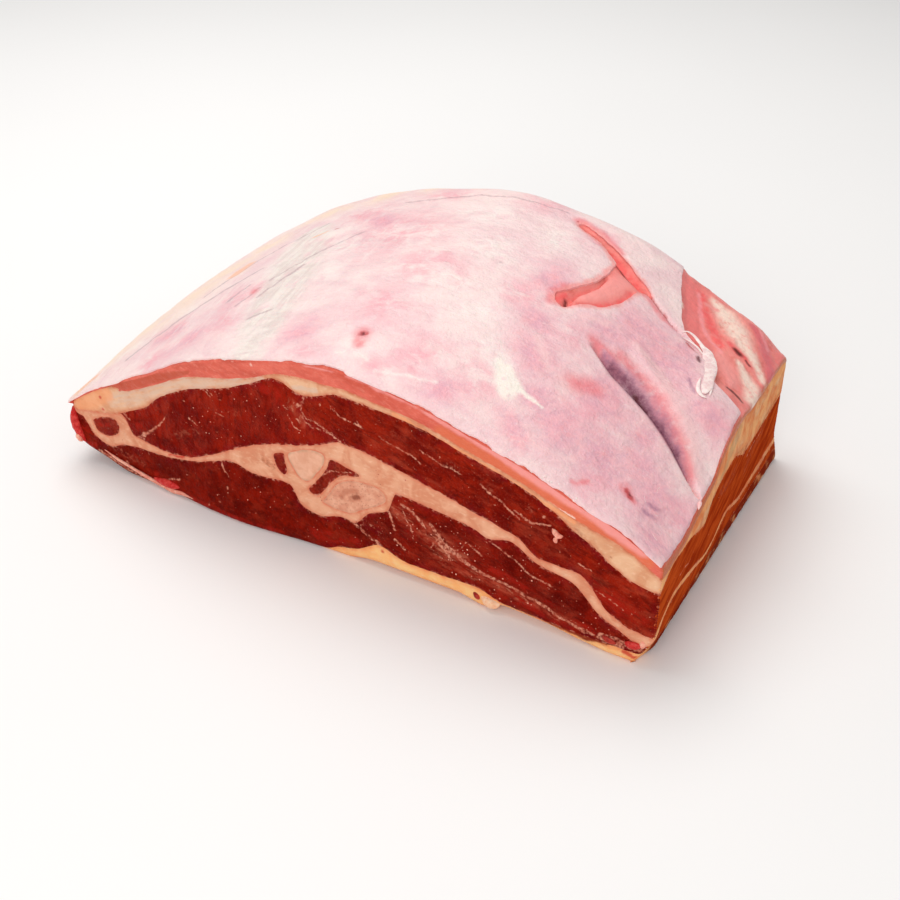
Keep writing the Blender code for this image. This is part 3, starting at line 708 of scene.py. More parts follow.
class Finish:
    """A material that is put together tint by tint."""

    def __init__(self, name):
        self.material = bpy.data.materials.new(name)
        self.material.use_nodes = True
        self.tree = self.material.node_tree
        self.shader = self.tree.nodes["Principled BSDF"]
        self.place = self.tree.nodes.new("ShaderNodeTexCoord").outputs["Object"]
        self.colour = None

    def grain(self, size, detail=3.0, stretch=(1, 1, 1), turn=(0, 0, 0), warp=0.0, rough=0.55,
              offset=0.0):
        """Noise with lumps of this size, drawn out where stretch is over 1, turned in degrees."""
        place = add_node(self.tree, "ShaderNodeMapping", {
            "Vector": self.place, "Location": (offset, offset, offset),
            "Rotation": [math.radians(angle) for angle in turn], "Scale": stretch,
        }, vector_type="TEXTURE")
        return add_node(self.tree, "ShaderNodeTexNoise", {
            "Vector": place[0], "Scale": 1 / size, "Detail": detail, "Roughness": rough,
            "Distortion": warp,
        })[0]

    def pores(self, size):
        """Distance from the middle of cells of this size."""
        cells = {"Vector": self.place, "Scale": 1 / size}
        return add_node(self.tree, "ShaderNodeTexVoronoi", cells, feature="F1")["Distance"]

    def mark(self, name):
        """A value that the mesh carries at each point."""
        return add_node(self.tree, "ShaderNodeAttribute", {}, attribute_name=name)["Fac"]

    def step(self, value, low, high):
        """0 below low, 1 above high, and a soft rise between."""
        limits = {"Value": value, "From Min": low, "From Max": high}
        return add_node(self.tree, "ShaderNodeMapRange", limits, interpolation_type="SMOOTHSTEP")[0]

    def patches(self, low, high, *size, **how):
        """Noise that is cut off softly between low and high."""
        return self.step(self.grain(*size, **how), low, high)

    def combine(self, operation, *values):
        """Arithmetic on a row of values, where a word stands for the mesh's mark."""
        values = [self.mark(value) if isinstance(value, str) else value for value in values]
        result = values[0]
        for value in values[1:]:
            pair = {0: result, 1: value}
            result = add_node(self.tree, "ShaderNodeMath", pair, operation=operation)[0]
        return result

    def times(self, *values):
        """The product of several values."""
        return self.combine("MULTIPLY", *values)

    def near_edge(self, reach):
        """1 at the edge of a cut face and 0 further in than reach."""
        return self.combine("SUBTRACT", 1.0, self.step(self.mark("rim"), 0.0, reach))

    def blend(self, share, first, second):
        """From the first colour to the second. Each is a socket or what a screen shows."""
        pair = [colour if is_socket(colour) else seen(*colour) for colour in (first, second)]
        inputs = {"Factor": share, 6: pair[0], 7: pair[1]}
        return add_node(self.tree, "ShaderNodeMix", inputs, data_type="RGBA")[2]

    def between(self, share, first, second):
        """From the first value to the second."""
        inputs = {"Factor": share, 6: (first, first, first, 1), 7: (second, second, second, 1)}
        return add_node(self.tree, "ShaderNodeMix", inputs, data_type="RGBA")[2]

    def tint(self, colour, *shares):
        """Lays a colour over what is there, by the product of some shares."""
        self.colour = self.blend(self.times(*shares), self.colour, colour)

    def relief(self, *heights):
        """Fine relief from (height, metres) pairs, handed to the shader's normal."""
        normal = {}
        for height, metres in heights:
            inputs = {"Height": height, "Distance": metres, **normal}
            normal = {"Normal": add_node(self.tree, "ShaderNodeBump", inputs)["Normal"]}
        set_inputs(self.shader, normal)

    def done(self, roughness, gloss=0.3, scatter=0.0, shine=(1, 1, 1, 1)):
        """Hands the colour and the shine to the shader."""
        set_inputs(self.shader, {
            "Base Color": self.colour, "Roughness": roughness, "Specular IOR Level": gloss,
            "Specular Tint": shine, "Subsurface Weight": scatter, "Subsurface Radius": SCATTER_REACH,
        })
        print("finish:", self.material.name)
        return self.material


# %% [markdown]
# Lean is dark, slightly brown red, with brighter stretches where air has reached it. It is
# bundles of fibres, so the noise is drawn out along the muscle and broken by finer grain. Fat
# comes in as marked strands and as fine flecks. The right cut has dried, so its grain runs along
# the meat, its colour is browner and it has no shine. The wet face has a low, uneven shine with a
# warm tint: a strong white shine would look like plastic and wash the red out.
# %% Lean
WARM_SHINE = (1.0, 0.45, 0.32, 1.0)
DARK_FIBRE = (76, 5, 3)
LEAN_FAT = ((238, 166, 138), (206, 116, 92))
DRIED_LEAN = ((206, 84, 32), (162, 50, 16))
FLECK_EDGE = 0.06


def lean_finish(name, along, turn, deep, bright, haze, fleck_share=0.68):
    """The finish of a muscle whose fibres run the way it is stretched and turned."""
    finish = Finish(name)
    fibre = finish.grain(0.0021, 5, along, turn, warp=0.5, rough=0.66)
    bundle = finish.grain(0.0046, 4, along, turn, warp=0.4, offset=0.2, rough=0.6)
    fine = finish.grain(0.0008, 4, offset=0.4, rough=0.7)
    broad = finish.patches(0.36, 0.66, 0.011, 5, warp=0.5, rough=0.62)
    finish.colour = finish.blend(broad, deep, bright)
    finish.tint(haze, finish.step(bundle, 0.46, 0.72), 0.42)
    finish.tint(DARK_FIBRE, finish.step(fibre, 0.46, 0.66), 0.55)
    finish.tint(haze, finish.step(fine, 0.54, 0.74), 0.45)
    finish.tint(DARK_FIBRE, finish.step(fine, 0.42, 0.26), 0.45)
    finish.tint((178, 34, 22), "fresh", finish.step(bundle, 0.62, 0.40), 0.6)
    bluish = finish.patches(0.46, 0.6, 0.005, 3, offset=0.77)
    finish.tint((128, 10, 30), finish.near_edge(0.004), bluish, 0.35)
    dried = finish.patches(0.32, 0.66, 0.0034, 5, (1, 5, 1), (16, 0, 0), warp=0.3, offset=0.5)
    finish.tint(finish.blend(dried, *DRIED_LEAN), "aged", 0.94)
    finish.tint((180, 92, 70), "dull", finish.patches(0.46, 0.62, 0.0016, 5, rough=0.7), 0.5)
    cloudy = finish.patches(0.40, 0.66, 0.0030, 6, along, turn, rough=0.7, offset=0.6)
    finish.tint((202, 90, 66), "web", cloudy, 0.6)
    finish.tint((224, 132, 102), "web", finish.step(fibre, 0.54, 0.66), 0.5)

    flecks = finish.patches(fleck_share, fleck_share + FLECK_EDGE, 0.0011, 3, offset=0.7, rough=0.6)
    smear = finish.times(finish.near_edge(0.0014), finish.patches(0.44, 0.62, 0.0018, 5, rough=0.65))
    broken = finish.between(finish.patches(0.36, 0.62, 0.0013, 4, offset=0.33), 0.25, 1.0)
    fat = finish.combine("MAXIMUM", finish.times(flecks, "flecks", 0.85),
                         finish.times(smear, 0.75), finish.times("fat", broken))
    fat_colour = finish.blend(finish.patches(0.35, 0.65, 0.0026, 3), *LEAN_FAT)
    finish.tint(fat_colour, finish.step(fat, 0.1, 0.95), 0.85)

    smooth = finish.combine("SUBTRACT", 1.0, finish.times("aged", 0.85))
    lumpy = finish.times(finish.grain(0.0016, 4, warp=0.6), smooth)
    finish.relief((lumpy, 0.0007), (finish.times(fine, smooth), 0.00025))
    wet = finish.patches(0.4, 0.62, 0.005, 3, offset=1.1)
    gloss = finish.between(finish.mark("aged"), 0.03, 0.0)
    return finish.done(finish.between(wet, 0.3, 0.6), gloss, shine=WARM_SHINE)


LEAN_LOOKS = {
    "lean speckled": ((1.0, 1.0, 2.4), (0, 8, 0), (116, 10, 3), (154, 28, 9), (172, 56, 38)),
    "lean long grain": ((2.8, 2.4, 1.0), (0, 17, 0), (112, 10, 3), (156, 32, 12), (192, 76, 52)),
    "lean dark": ((1.6, 1.6, 1.2), (0, 20, 0), (102, 9, 2), (138, 22, 6), (162, 50, 30)),
    "lean marbled": ((2.4, 2.0, 1.0), (0, 14, 0), (102, 9, 3), (144, 24, 8), (176, 62, 42), 0.67),
    "lean in the seam": ((1.2, 1.2, 1.2), (0, 0, 0), (126, 26, 14), (158, 46, 28), (192, 88, 66)),
}
upper_left_lean, upper_right_lean, lower_left_lean, lower_right_lean, seam_lean = (
    lean_finish(name, *look) for name, look in LEAN_LOOKS.items())


# %% [markdown]
# Beef fat is cream to peach, greyer and silvery where it is a thin skin between muscles, and
# stained pink where it touches them. It is waxy, so it is paler and shinier than the lean and its
# relief is soft.
# %% Fat
def fat_finish(name, pale, deep, stain, edge):
    """The finish of a layer of fat that is stained this far in from its edges."""
    finish = Finish(name)
    cloud = finish.patches(0.36, 0.64, 0.009, 4, warp=0.7)
    fine = finish.grain(0.0013, 4, (2, 2, 1), offset=0.3)
    finish.colour = finish.blend(cloud, pale, deep)
    finish.tint((255, 218, 186), finish.step(fine, 0.5, 0.72), 0.3)
    finish.tint(stain, finish.near_edge(1.8 * edge), 0.4)
    finish.tint(stain, finish.near_edge(edge), finish.patches(0.40, 0.60, 0.0028, 4, offset=0.9), 0.75)
    dried = finish.blend(cloud, (255, 186, 124), (240, 138, 84))
    finish.tint(dried, "aged", finish.patches(0.2, 0.6, 0.006, 3, (1, 3, 1)), 0.85)
    silver = finish.patches(0.24, 0.66, 0.0017, 5, (5, 3, 1), (0, -24, 0), rough=0.62, offset=0.2)
    finish.tint((224, 190, 168), "silver", silver, 0.85)
    finish.tint((250, 166, 116), "orange", 0.65)
    finish.tint((206, 60, 48), "blush", 0.85)
    finish.tint((172, 94, 62), "dull", finish.patches(0.40, 0.62, 0.0020, 5, rough=0.65), 0.6)
    finish.tint((196, 164, 124), "glassy", finish.patches(0.3, 0.6, 0.0042, 4), 0.55)
    finish.tint((132, 26, 10), "meaty", finish.patches(0.25, 0.5, 0.004, 4, (2, 2, 1)), 0.95)
    finish.relief((finish.grain(0.004, 4, warp=0.4), 0.0009), (fine, 0.00025))
    gloss = finish.between(finish.mark("aged"), 0.08, 0.0)
    return finish.done(finish.between(cloud, 0.36, 0.52), gloss, scatter=0.05, shine=WARM_SHINE)


cap_fat = fat_finish("fat of the cap", (238, 188, 150), (222, 158, 120), (206, 104, 74), 0.0012)
seam_fat = fat_finish("fat of the seam", (236, 174, 140), (220, 144, 110), (216, 112, 84), 0.0010)
floor_fat = fat_finish("fat of the floor", (255, 204, 140), (255, 184, 118), (238, 136, 88), 0.0016)


# %% [markdown]
# The thin muscle over the cap is salmon to coral, because it is seen through a wet pale skin and
# carries more fat between its fibres. It darkens to brown red at its left end, where it has dried.
# %% Salmon muscle
def salmon_finish():
    """The thin covering muscle, on its cut edge and where the membrane is missing."""
    finish = Finish("salmon muscle")
    cloud = finish.patches(0.36, 0.64, 0.007, 4, (3, 3, 1), warp=0.5)
    finish.colour = finish.blend(cloud, (232, 112, 94), (214, 94, 76))
    finish.tint(finish.blend(cloud, (252, 150, 142), (244, 132, 128)), "topside")
    fibre = finish.grain(0.0013, 5, (2.4, 2.4, 1), (0, 14, 0), warp=0.4, rough=0.66)
    finish.tint((248, 156, 134), finish.step(fibre, 0.48, 0.72), 0.45)
    finish.tint((200, 78, 62), finish.patches(0.48, 0.68, 0.0036, 5, (2, 2, 1), offset=0.6), 0.4)
    finish.tint((232, 122, 80), "orange", 0.6)
    finish.tint((196, 100, 50), "aged", 0.8)
    finish.tint((184, 74, 46), "dried", 0.6)
    finish.tint((236, 126, 124), "muted", 0.8)
    mottled = finish.patches(0.20, 0.56, 0.0032, 4, warp=0.6, offset=0.3)
    finish.tint((250, 102, 102), "blush", mottled, 0.85)
    finish.tint((255, 224, 208), "cream", finish.patches(0.14, 0.56, 0.0026, 5, rough=0.65))
    finish.tint((250, 160, 154), "pale", 0.9)
    finish.tint((228, 112, 120), "rose", 0.85)
    finish.tint((255, 164, 168), "lilac", 0.6)
    # The dark tint is painted shade under the membrane's edge along the slit, in the pocket and in
    # small nicks of the bare corner; it also draws a dark line near the top of the right cut.
    finish.tint((80, 14, 12), "dark", 0.92)
    finish.relief((finish.grain(0.0022, 4, (2, 2, 1)), 0.0006), (fibre, 0.00025))
    return finish.done(0.38, gloss=0.25, scatter=0.05, shine=WARM_SHINE)


salmon_muscle = salmon_finish()


# %% [markdown]
# The membrane is a thin, moist skin. It is milky where it is thick, pink where the muscle shows
# through, and lilac with fine marbling over the right side. Broad patches come from marks on the
# mesh. The marbling, the faint fibres that fan out over the arch, and the blotches are noise. The
# fold, deep and dark tints are painted shade in the crease, its small folds, the nicks and small
# hollows.
# %% Membrane
def membrane_finish():
    """The pale skin over the whole top."""
    finish = Finish("membrane")
    long = (1.3, 1, 1)
    patches = finish.patches(0.36, 0.64, 0.017, 5, long, warp=0.5, rough=0.6)
    finish.colour = finish.blend(patches, (246, 208, 210), (252, 226, 222))
    soft = finish.patches(0.34, 0.62, 0.0075, 5, long, warp=0.6, rough=0.62, offset=0.5)
    finish.tint((247, 180, 188), "rosy", soft)
    mottle = finish.grain(0.0036, 6, warp=0.4, rough=0.68, offset=0.25)
    lilac = finish.blend(finish.step(mottle, 0.38, 0.62), (230, 166, 182), (248, 178, 188))
    finish.tint(lilac, "lilac", 0.9)
    coral = finish.patches(0.52, 0.68, 0.0055, 5, rough=0.65, offset=0.8)
    finish.tint((250, 172, 176), "lilac", coral, 0.5)
    fine = finish.grain(0.0012, 5, rough=0.7, offset=0.45)
    finish.tint((255, 240, 236), finish.step(fine, 0.54, 0.72), 0.34)
    finish.tint((230, 166, 178), finish.step(fine, 0.44, 0.28), 0.28)
    finish.tint((253, 206, 206), "pink", 0.7)

    across = finish.grain(0.0021, 5, (6, 1.5, 3), (0, 0, 12), warp=0.4, rough=0.62, offset=0.15)
    back = finish.grain(0.0021, 5, (1.2, 8, 5), (0, 0, 7), warp=0.4, rough=0.62, offset=0.55)
    fibre = finish.blend(finish.mark("fan"), across, back)
    drawn = finish.between(finish.mark("fan"), 0.12, 0.5)
    finish.tint((255, 240, 234), finish.step(fibre, 0.50, 0.68), drawn)
    finish.tint((230, 172, 184), finish.step(fibre, 0.46, 0.28), drawn)
    cloud = finish.patches(0.3, 0.62, 0.0045, 5, long, warp=0.4, rough=0.62, offset=0.9)
    finish.tint((253, 236, 230), "milky", cloud)
    ashen = finish.blend(finish.step(fibre, 0.4, 0.6), (230, 214, 206), (246, 236, 226))
    finish.tint(ashen, "ashen", finish.patches(0.26, 0.52, 0.006, 5, (1, 2, 2)), 0.8)
    finish.tint((255, 226, 200), "cream", finish.patches(0.18, 0.5, 0.009, 4, (1, 2, 2)), 0.9)
    finish.tint((180, 146, 152), "grey", 0.6)
    finish.tint((254, 190, 152), "orange", 0.75)

    blotch = finish.patches(0.14, 0.56, 0.0036, 5, offset=0.65, rough=0.65)
    finish.tint((240, 124, 130), "blush", blotch, 0.8)
    finish.tint((250, 156, 150), "torn", 0.8)
    finish.tint((196, 70, 72), "blood", 0.9)
    # Painted shade: the fold, deep and dark tints darken the crease, its small folds, the nicks and
    # small hollows.
    shade = finish.patches(0.36, 0.62, 0.0018, 5, offset=0.85, rough=0.7)
    shade = finish.between(shade, 0.6, 0.95)
    finish.tint((180, 126, 150), "fold", shade)
    finish.tint((128, 66, 88), "deep", shade)
    finish.tint((96, 30, 40), "dark", 0.9)
    finish.tint((255, 244, 232), "ivory", finish.patches(0.22, 0.44, 0.0030, 4, offset=0.5), 0.95)
    finish.relief((finish.grain(0.0055, 4, long), 0.0010), (mottle, 0.0005), (fine, 0.00025))
    return finish.done(finish.between(patches, 0.32, 0.46), gloss=0.3, scatter=0.05)


membrane_skin = membrane_finish()


# %% [markdown]
# Bone is cream with a pink cast and fine pores, denser at its rim, with brownish marrow in its
# middle. Cartilage is smoother, paler and slightly grey at the edge.
# %% Bone and cartilage
def bone_finish():
    """Sawn bone: a dense rim, a porous body and marrow."""
    finish = Finish("sawn bone")
    cloud = finish.patches(0.30, 0.70, 0.0045, 6, warp=0.3, rough=0.66)
    finish.colour = finish.blend(cloud, (238, 178, 148), (216, 142, 114))
    pores = finish.step(finish.pores(0.0010), 0.30, 0.12)
    finish.tint((190, 104, 76), pores, 0.35)
    rim = finish.combine("SUBTRACT", finish.near_edge(0.0012), finish.near_edge(0.0003))
    finish.tint((190, 130, 104), rim, 0.45)
    finish.tint((186, 104, 76), "marrow", 0.55)
    finish.tint((132, 60, 42), "dark", 0.75)
    finish.relief((pores, 0.0002), (finish.grain(0.002, 3), 0.0004))
    return finish.done(0.42, gloss=0.25, scatter=0.04, shine=WARM_SHINE)


def cartilage_finish():
    """Smooth pale cartilage with a grey edge."""
    finish = Finish("cartilage")
    cloud = finish.patches(0.30, 0.70, 0.005, 6, warp=0.4, rough=0.66)
    finish.colour = finish.blend(cloud, (240, 186, 156), (224, 160, 130))
    rim = finish.times(finish.near_edge(0.0014), finish.patches(0.3, 0.6, 0.003, 3))
    finish.tint((176, 140, 112), rim, 0.5)
    finish.relief((finish.grain(0.003, 3), 0.0004))
    return finish.done(0.3, gloss=0.3, scatter=0.05, shine=WARM_SHINE)


sawn_bone = bone_finish()
pale_cartilage = cartilage_finish()


# %% [markdown]
# The four muscles and the three layers of fat are each made from two of the height lines. Where
# two muscles of one layer meet, the line between them slants, so it is written as the X it has at
# each share of the layer's height.
# %% Splits between muscles
def split_line(text):
    """X in mm at each share of a layer's height, from 0 to 1."""
    return smooth_line(text, (1, MM))


upper_split = split_line("0 7.8, .2 3.2, .42 -6, .65 -9.7, 1 -7.7")
lower_split = split_line("0 20.5, .4 21.5, .75 16.5, 1 9.5")


def upper_start(t):
    """The upper muscles' left end, where their layer has thinned out to nothing."""
    return np.full(np.shape(t), UPPER_START)


def floor_fat_end(t):
    """The floor fat's thin left end."""
    return np.full(np.shape(t), FLOOR_FAT_START)


print("half way up, the upper muscles part at", round(float(upper_split(0.5)) / MM, 1), "mm")

# %% [markdown]
# The top surface gets gentle waves, and three folds: a deep crease on the right, a slit and a
# pocket towards the back, where the membrane has opened. At the back right corner it is torn off.
# Each fold is a line of X, Y and half width in mm.
# %% Folds of the top
CREASE = """
    76 -6 1.4, 86 -10.9 2.6, 93.7 -12.7 3, 102 -15.1 3, 110.7 -18.6 2.8, 118.5 -23.7 2.4,
    124.5 -28 1.8, 128.5 -31 1"""
RIDGE = "87.5 7.2 3, 97.8 -1.2 4, 109.3 -9 4, 118 -15 4, 123.4 -20 3"
SLIT = "39 60 1.4, 50 55.2 2.4, 58 50 2.8, 66 44.5 2.8, 75 40.3 1.8"
SLIT_TAIL = "78.3 39.6 1.2, 84.3 36.3 1.4, 90.9 32.9 1.4, 98 30.6 1.4, 107 27 1.6"
POCKET_GROOVE = "57.8 5.2 1.4, 56.7 10 1.8, 57.4 15.1 1.4, 61.1 25.5 1, 61.6 34 .8"
POCKET_LENS = "62 10.5 1.8, 68 16.8 2.6, 71.3 25 2.6, 72.8 34 1.8"
MOUTH = """
    37 60.6, 41.3 58.4, 49.5 55.2, 56.1 49.8, 61.2 44.4, 61.4 36, 59.7 26, 56.9 20.6, 54.3 14.5,
    52.6 9.5, 54 5, 58 3.6, 61 8, 65 12.2, 68.6 14.6, 71.8 21.1, 73.7 29.2, 75 36.6, 78.6 39.3,
    76 42.5, 70.4 46, 64.2 50.1, 56.5 54.5, 47.4 59.4, 39 62.4"""
NICK = "5.2 -52.4 1.3, 7 -51 1"
FOLDS = (
    (CREASE, 0, 0.0042, 1.3), (SLIT_TAIL, 0, 0.0016, 1.5), (SLIT, 2.2, 0.0012, 1.5),
    (POCKET_GROOVE, 2.5, 0.0008, 1.5), (NICK, 0, 0.0008, 1.5), (RIDGE, 0, -0.0012, 1),
)
bare_edge = smooth_line("""
    8.7 134, 11.2 125, 13.1 118.5, 18.3 114.5, 29.4 104, 33.8 95.8, 47.9 88.6, 64.2 81.6, 76 78""")


print("folds of the top:", len(FOLDS))

# %% Heights of the top
MEMBRANE = 0.0007
WAVE, WAVE_SIZE, RIPPLE, RIPPLE_SIZE = 0.0006, 0.020, 0.00016, 0.0045
DRAWN_OUT = (0.6, 1, 1)
TROUGH_REACH = 1.35
TORN_WOBBLE, EDGE_LUMPS = 0.0012, 0.006
CARVED, CARVED_BUMPS = 0.0005, 0.0016
OPENED = (SLIT, 0, 0.0024, 1), (POCKET_GROOVE, 0, 0.0020, 1), (POCKET_LENS, 0, 0.0013, 1)


def top_points(u, v):
    """X and Y of the top at u and v, as flat points."""
    return np.stack([u - inset_at(u, v, crown(u, v)), FRONT_Y + DEPTH * v], axis=-1)


def widened(line, more):
    """A line with its half widths made larger by some mm."""
    return [(x, y, width + more) for x, y, width in path(line)]


def trough(flat, line, wider, depth, sharp):
    """A rounded trough along a line, by its depth."""
    away = line_distance(flat, widened(line, wider)) / TROUGH_REACH
    return depth * (1 - np.clip(away, 0, 1)) ** sharp


def wobble(along, amount, seed):
    """A ragged shift along an edge."""
    places = np.stack([along, along * 0, along * 0], axis=1)
    return amount * rough_lumps(places, EDGE_LUMPS, seed)


def torn_edge(y):
    """X of the ragged edge where the membrane is torn off."""
    return bare_edge(y) + wobble(y, TORN_WOBBLE, 41)


def bareness(u, v):
    """1 where the membrane is torn off."""
    return ramp(u - torn_edge(FRONT_Y + DEPTH * v), -0.0004, 0.0022)


def skin(u, v):
    """Height of the membrane's outer face."""
    u, v = np.broadcast_arrays(np.asarray(u, float), np.asarray(v, float))
    flat = top_points(u, v)
    places = np.concatenate([flat, np.zeros((len(flat), 1))], axis=1)
    drawn = places * DRAWN_OUT
    z = crown(u, v) - WAVE * (0.5 + 0.5 * rough_lumps(drawn, WAVE_SIZE, 31))
    z -= RIPPLE * (1 + lumps(drawn, RIPPLE_SIZE, 34))
    for fold in FOLDS:
        z -= trough(flat, *fold)
    return z


def flesh_top(u, v):
    """Height of the covering muscle, lower where the membrane is open."""
    u, v = np.broadcast_arrays(np.asarray(u, float), np.asarray(v, float))
    flat = top_points(u, v)
    places = np.concatenate([flat, np.zeros((len(flat), 1))], axis=1)
    bumps = 0.5 + 0.5 * rough_lumps(places, 0.006, 51)
    carve = bareness(u, v) * (CARVED + CARVED_BUMPS * bumps)
    for opened in OPENED:
        carve = np.maximum(carve, trough(flat, *opened))
    return np.maximum(skin(u, v) - MEMBRANE - carve, sheet_bottom(u, v) + LEAST_THICKNESS)


# %% [markdown]
# Where the membrane has opened or is folded, and along the worn rims of the top, the meshes under
# it need fine points too. A coarse one there would cut through the skin above it.
# %% Fine points where the top is folded
OPEN_STEP, FOLD_STEP = 0.00068, 0.0012
OPEN_START = (0.025, 0.060)
FOLD_START, FOLD_END = (0.070, 0.036), 0.0595
RIM_WIDTH, RIM_STEP = 0.0048, 0.0009


def opened_places():
    """Extra flat points where the covering muscle shows or is folded."""
    inner = HALF_LENGTH - CUT_STEP
    fine = even_points(OPEN_START, (inner, DEPTH - CUT_STEP), OPEN_STEP)
    u, v = fine[:, 0], fine[:, 1] / DEPTH
    flat = top_points(u, v)
    near = bareness(u, v) > 0
    for line in (SLIT, POCKET_GROOVE, POCKET_LENS, CREASE, SLIT_TAIL):
        near |= line_distance(flat, widened(line, 3)) < 1.2
    coarse = even_points(FOLD_START, (inner, FOLD_END), FOLD_STEP)
    flat = top_points(coarse[:, 0], coarse[:, 1] / DEPTH)
    folded = line_distance(flat, widened(CREASE, 2)) < 1.2
    grid = np.concatenate([fine[near], coarse[folded]])
    rims = (
        ((-inner, CUT_STEP), (inner, RIM_WIDTH)),
        ((-inner, DEPTH - RIM_WIDTH), (inner, DEPTH - CUT_STEP)),
        ((-inner, RIM_WIDTH), (RIM_WIDTH - HALF_LENGTH, DEPTH - RIM_WIDTH)),
        ((HALF_LENGTH - RIM_WIDTH, RIM_WIDTH), (inner, DEPTH - RIM_WIDTH)),
    )
    for low, high in rims:
        strip = even_points(low, high, RIM_STEP)
        grid = np.concatenate([grid, strip[distance_to(strip, grid) > RIM_STEP * 0.6]])
    return grid[(grid[:, 0] < inner) & (grid[:, 0] > -inner)]


print("fine points under the top:", len(opened_places()))


